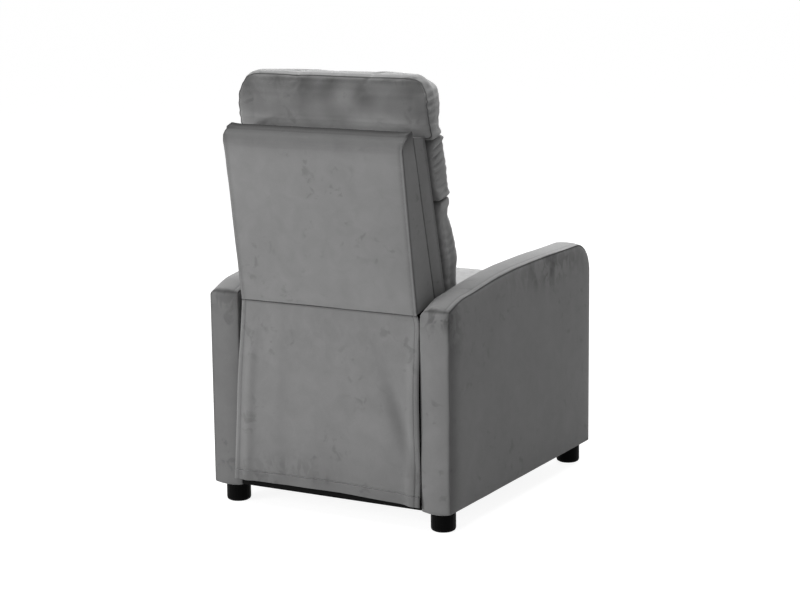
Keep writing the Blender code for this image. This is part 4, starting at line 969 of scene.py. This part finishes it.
welt_path = np.array([made.closest_point_on_mesh(Vector(place))[1] for place in welt_path])
welt_path = (np.roll(welt_path, 1, axis=0) + 2.0 * welt_path + np.roll(welt_path, -1, axis=0)) / 4.0
move_points(welt, welt_path)
bpy.ops.object.convert(target="CURVE")
welt.data.bevel_depth = WELT_RADIUS
welt.data.bevel_resolution = 2
bpy.ops.object.convert(target="MESH")
# Painted shade: the cord is darkened to stand for the seam's shade.
paint_on(welt, "painted_light_and_wear", np.full(len(welt.data.vertices), -0.66))
cover(welt, cushion_velvet, "back", [])

# Crevice cloth: a velvet strip that closes the gap between seat and back. It lies on the seat's tail,
# turns at the bottom of the crevice and runs up under the lumbar cushion.
CREVICE_HALF, CREVICE_SAG = 0.2240, 0.016
CREVICE_LINE = (
    (0.0980, 0.4520), (0.1160, 0.4450), (0.1350, 0.4360), (0.1540, 0.4265),
    (0.1700, 0.4195), (0.1820, 0.4190), (0.1890, 0.4235), (0.1913, 0.4285),
    (0.1916, 0.4305), (0.1916, 0.4318), (0.1912, 0.4327), (0.1800, 0.4356),
    (0.1600, 0.4406), (0.1400, 0.4456), (0.1200, 0.4506), (0.1045, 0.4545),
)


def cloth_grid(name, columns, rows):
    """A flat cloth from -1 to 1, ready to be shaped, and its points."""
    piece = begin(name, bpy.ops.mesh.primitive_grid_add, x_subdivisions=columns, y_subdivisions=rows, size=2.0)
    return piece, points_of(piece)


def thicken(piece, thickness):
    """Gives a shaped cloth its thickness, half to each side."""
    modifier = piece.modifiers.new("Solidify", "SOLIDIFY")
    modifier.thickness = thickness
    modifier.offset = 0.0
    apply_modifiers(piece)


crevice, grid = cloth_grid("crevice_velvet_cloth", 24, len(CREVICE_LINE) - 1)
row = np.rint((grid[:, 1] + 1.0) / 2.0 * (len(CREVICE_LINE) - 1)).astype(int)
line = np.array(CREVICE_LINE)[row]
sag = CREVICE_SAG * grid[:, 0] ** 2 * np.clip((9.0 - row) / 6.0, 0.0, 1.0)
move_points(crevice, np.stack([grid[:, 0] * CREVICE_HALF, line[:, 0], line[:, 1] - sag], axis=1))
# Painted shade darkens the whole cloth, down in the crevice.
paint_on(crevice, "painted_light_and_wear", np.full(len(grid), -0.3))
thicken(crevice, 0.0012)
crevice.data.materials.append(cushion_velvet.holder)
bpy.ops.object.shade_smooth()
crevice_low, crevice_high = on_back(-0.10, 0.0574), on_back(-0.10, 0.0596)
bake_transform(crevice)

# Rear flap: a single velvet cloth hung from the shell's lower seam to just above the floor, hiding the
# works. Hemmed at the foot and down both sides; it hangs in soft folds and creases.
FLAP_TOP = (0.3316, 0.4800)
FLAP_LOW = 0.3393
FLAP_TOP_HALF = 0.2253
FLAP_LEFT_FLARE, FLAP_RIGHT_FLARE = 0.0250, 0.0078
HEM_CORNER, HEM_MIDDLE = 0.056, 0.0635
HEM_LINE, SIDE_LINE = 0.054, 0.957
FLAP_THICK = 0.0022
VALLEY_DEPTH, CORNER_CURL = 0.0075, 0.0045


def spaced(places, count):
    """Evenly spread places from 0 to 1, with the places of seams and hems added."""
    spread = np.linspace(0.0, 1.0, count)
    return np.unique(np.concatenate([spread, np.array(places)]))


flap_columns = spaced([0.012, 0.0195, 0.0215, 0.0235, 0.9765, 0.9785, 0.9805, 0.988], 97)
flap_rows = spaced([0.0010, 0.006, 0.048, 0.0525, 0.0555, 0.060, 0.994], 73)
flap, grid = cloth_grid("rear_velvet_flap", len(flap_columns) - 1, len(flap_rows) - 1)
column = np.rint((grid[:, 0] + 1.0) / 2.0 * (len(flap_columns) - 1)).astype(int)
row = np.rint((grid[:, 1] + 1.0) / 2.0 * (len(flap_rows) - 1)).astype(int)
s, h = flap_columns[column] * 2.0 - 1.0, flap_rows[row]
hem = HEM_MIDDLE + (HEM_CORNER - HEM_MIDDLE) * np.where(s > 0, 0.25, 1.0) * np.abs(s) ** 1.6
left_edge = FLAP_TOP_HALF + FLAP_LEFT_FLARE * (1.0 - h)
right_edge = -FLAP_TOP_HALF - FLAP_RIGHT_FLARE * (1.0 - np.exp(-(1.0 - h) / 0.035))
right_edge += 0.0012 * bump(h - 0.86, 0.04)
x = right_edge + (left_edge - right_edge) * (s + 1.0) / 2.0
z = hem + (FLAP_TOP[1] - hem) * h
fall = np.clip((FLAP_TOP[1] - z) / 0.20, 0.0, 1.0)
y = FLAP_TOP[0] + (FLAP_LOW + 0.0018 - FLAP_TOP[0]) * fall * fall * (3.0 - 2.0 * fall)
loose = np.clip((1.0 - h) / 0.35, 0.0, 1.0)
fold = 0.0066 * bump(s + 0.91 + 0.05 * h, 0.055) + 0.0046 * bump(s - 0.86, 0.05)
valley = bump(s + 0.67 + 0.56 * (0.68 - h), 0.085) * bump(h - 0.42, 0.30)
fold += 0.0026 * bump(s - 0.55, 0.10) - VALLEY_DEPTH * valley
fold += 0.0016 * np.sin(s * 9.0 + 2.0 * h) * (1.0 - h)
y = y + fold * loose
curl = bump(s + 1.0, 0.10) * bump(h, 0.07)
y = y + CORNER_CURL * curl
x = x - 0.0008 * curl
hem_line = bump(h - HEM_LINE, 0.0026)
side_line = bump(np.abs(s) - SIDE_LINE, 0.0035)
pull = bump(s - 0.12, 0.02) + bump(s + 0.02, 0.02)
y = y + 0.0009 * (h < HEM_LINE) + 0.0006 * (np.abs(s) > SIDE_LINE) - 0.0008 * hem_line - 0.0005 * side_line
z = z + 0.0016 * pull * bump(h - 0.06, 0.03)
flap_points = np.stack([x, y, z], axis=1)
flap_points[:, 1] += 0.0008 * ripple(flap_points, 14.0, 21) * loose
move_points(flap, flap_points)
paint_on(flap, "stitch", hem_line + 0.8 * side_line)
# Painted shade along the top, under the shell's edge, and in the puckers by the hem.
paint_on(flap, "seam", 0.8 * bump(1.0 - h, 0.006) + 0.3 * pull * bump(h - 0.055, 0.02))
paint_on(flap, "crush", 0.45 * bump(h - 0.10, 0.06) * bump(s - 0.40, 0.4) + 0.10 * bump(h - 0.82, 0.2))
# Painted shade in the fold's valley; the cloth is also darker towards the bottom and on the hem.
shaded = bump(s + 0.60 + 0.64 * (0.68 - h), 0.075) * bump(h - 0.42, 0.27)
flap_darker_low = -0.04 * (1.0 - h) - 0.10 * np.clip((0.35 - h) / 0.35, 0.0, 1.0)
paint_on(flap, "painted_light_and_wear", flap_darker_low - 0.08 * (h < HEM_LINE) - 0.12 * shaded)
thicken(flap, FLAP_THICK)
cover(flap, velvet("flap_velvet", 0.203), "base", ["rear_flap"])
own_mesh(flap)

# Flap lining: a black non-woven cloth inside the flap, from arm to arm, tacked along the top of the rear
# rail. It is a black sheet that stands in for the shade inside the chair, so that no light shows past the
# flap's edges. It hangs in shallow creases. The same cloth is wrapped round the stiles, which come out
# under the shell.
LINING_HALF = 0.2343
LINING_Y = 0.3180
LINING_LOW, LINING_HIGH = 0.1012, 0.4812
# A black sheet that stands in for the shade behind the flap.
lining, grid = cloth_grid("black_shade_lining", 40, 36)
h = (grid[:, 1] + 1.0) / 2.0
z = LINING_LOW + (LINING_HIGH - LINING_LOW) * h
y = LINING_Y + 0.0015 * np.sin(grid[:, 0] * 11.0 + 3.0 * h) * np.sin(h * math.pi)
move_points(lining, np.stack([grid[:, 0] * LINING_HALF, y, z], axis=1))
thicken(lining, 0.0006)
felt = Finish("black_shade_cloth")
felt_fibre = felt.mottle(felt.place((300.0, 300.0, 90.0)), 1.0, 4.0, 1.0)
felt_dimple = felt.node("ShaderNodeTexVoronoi", {}, {"Vector": felt.place(), "Scale": 420.0})
felt.feed(
    felt.shader,
    {
        "Base Color": felt.grey(0.003 + 0.006 * felt_fibre),
        "Roughness": 0.86 + 0.12 * felt_fibre,
        "Normal": felt.relief(0.6 * felt_dimple + 0.4 * felt_fibre, 0.0004, 0.4),
        "Specular IOR Level": 0.1,
    },
)
lining.data.materials.append(felt.holder)
dress(["left_back_stile", "right_back_stile"], felt)
bpy.ops.object.shade_smooth()
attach(lining, "base")
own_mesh(lining)
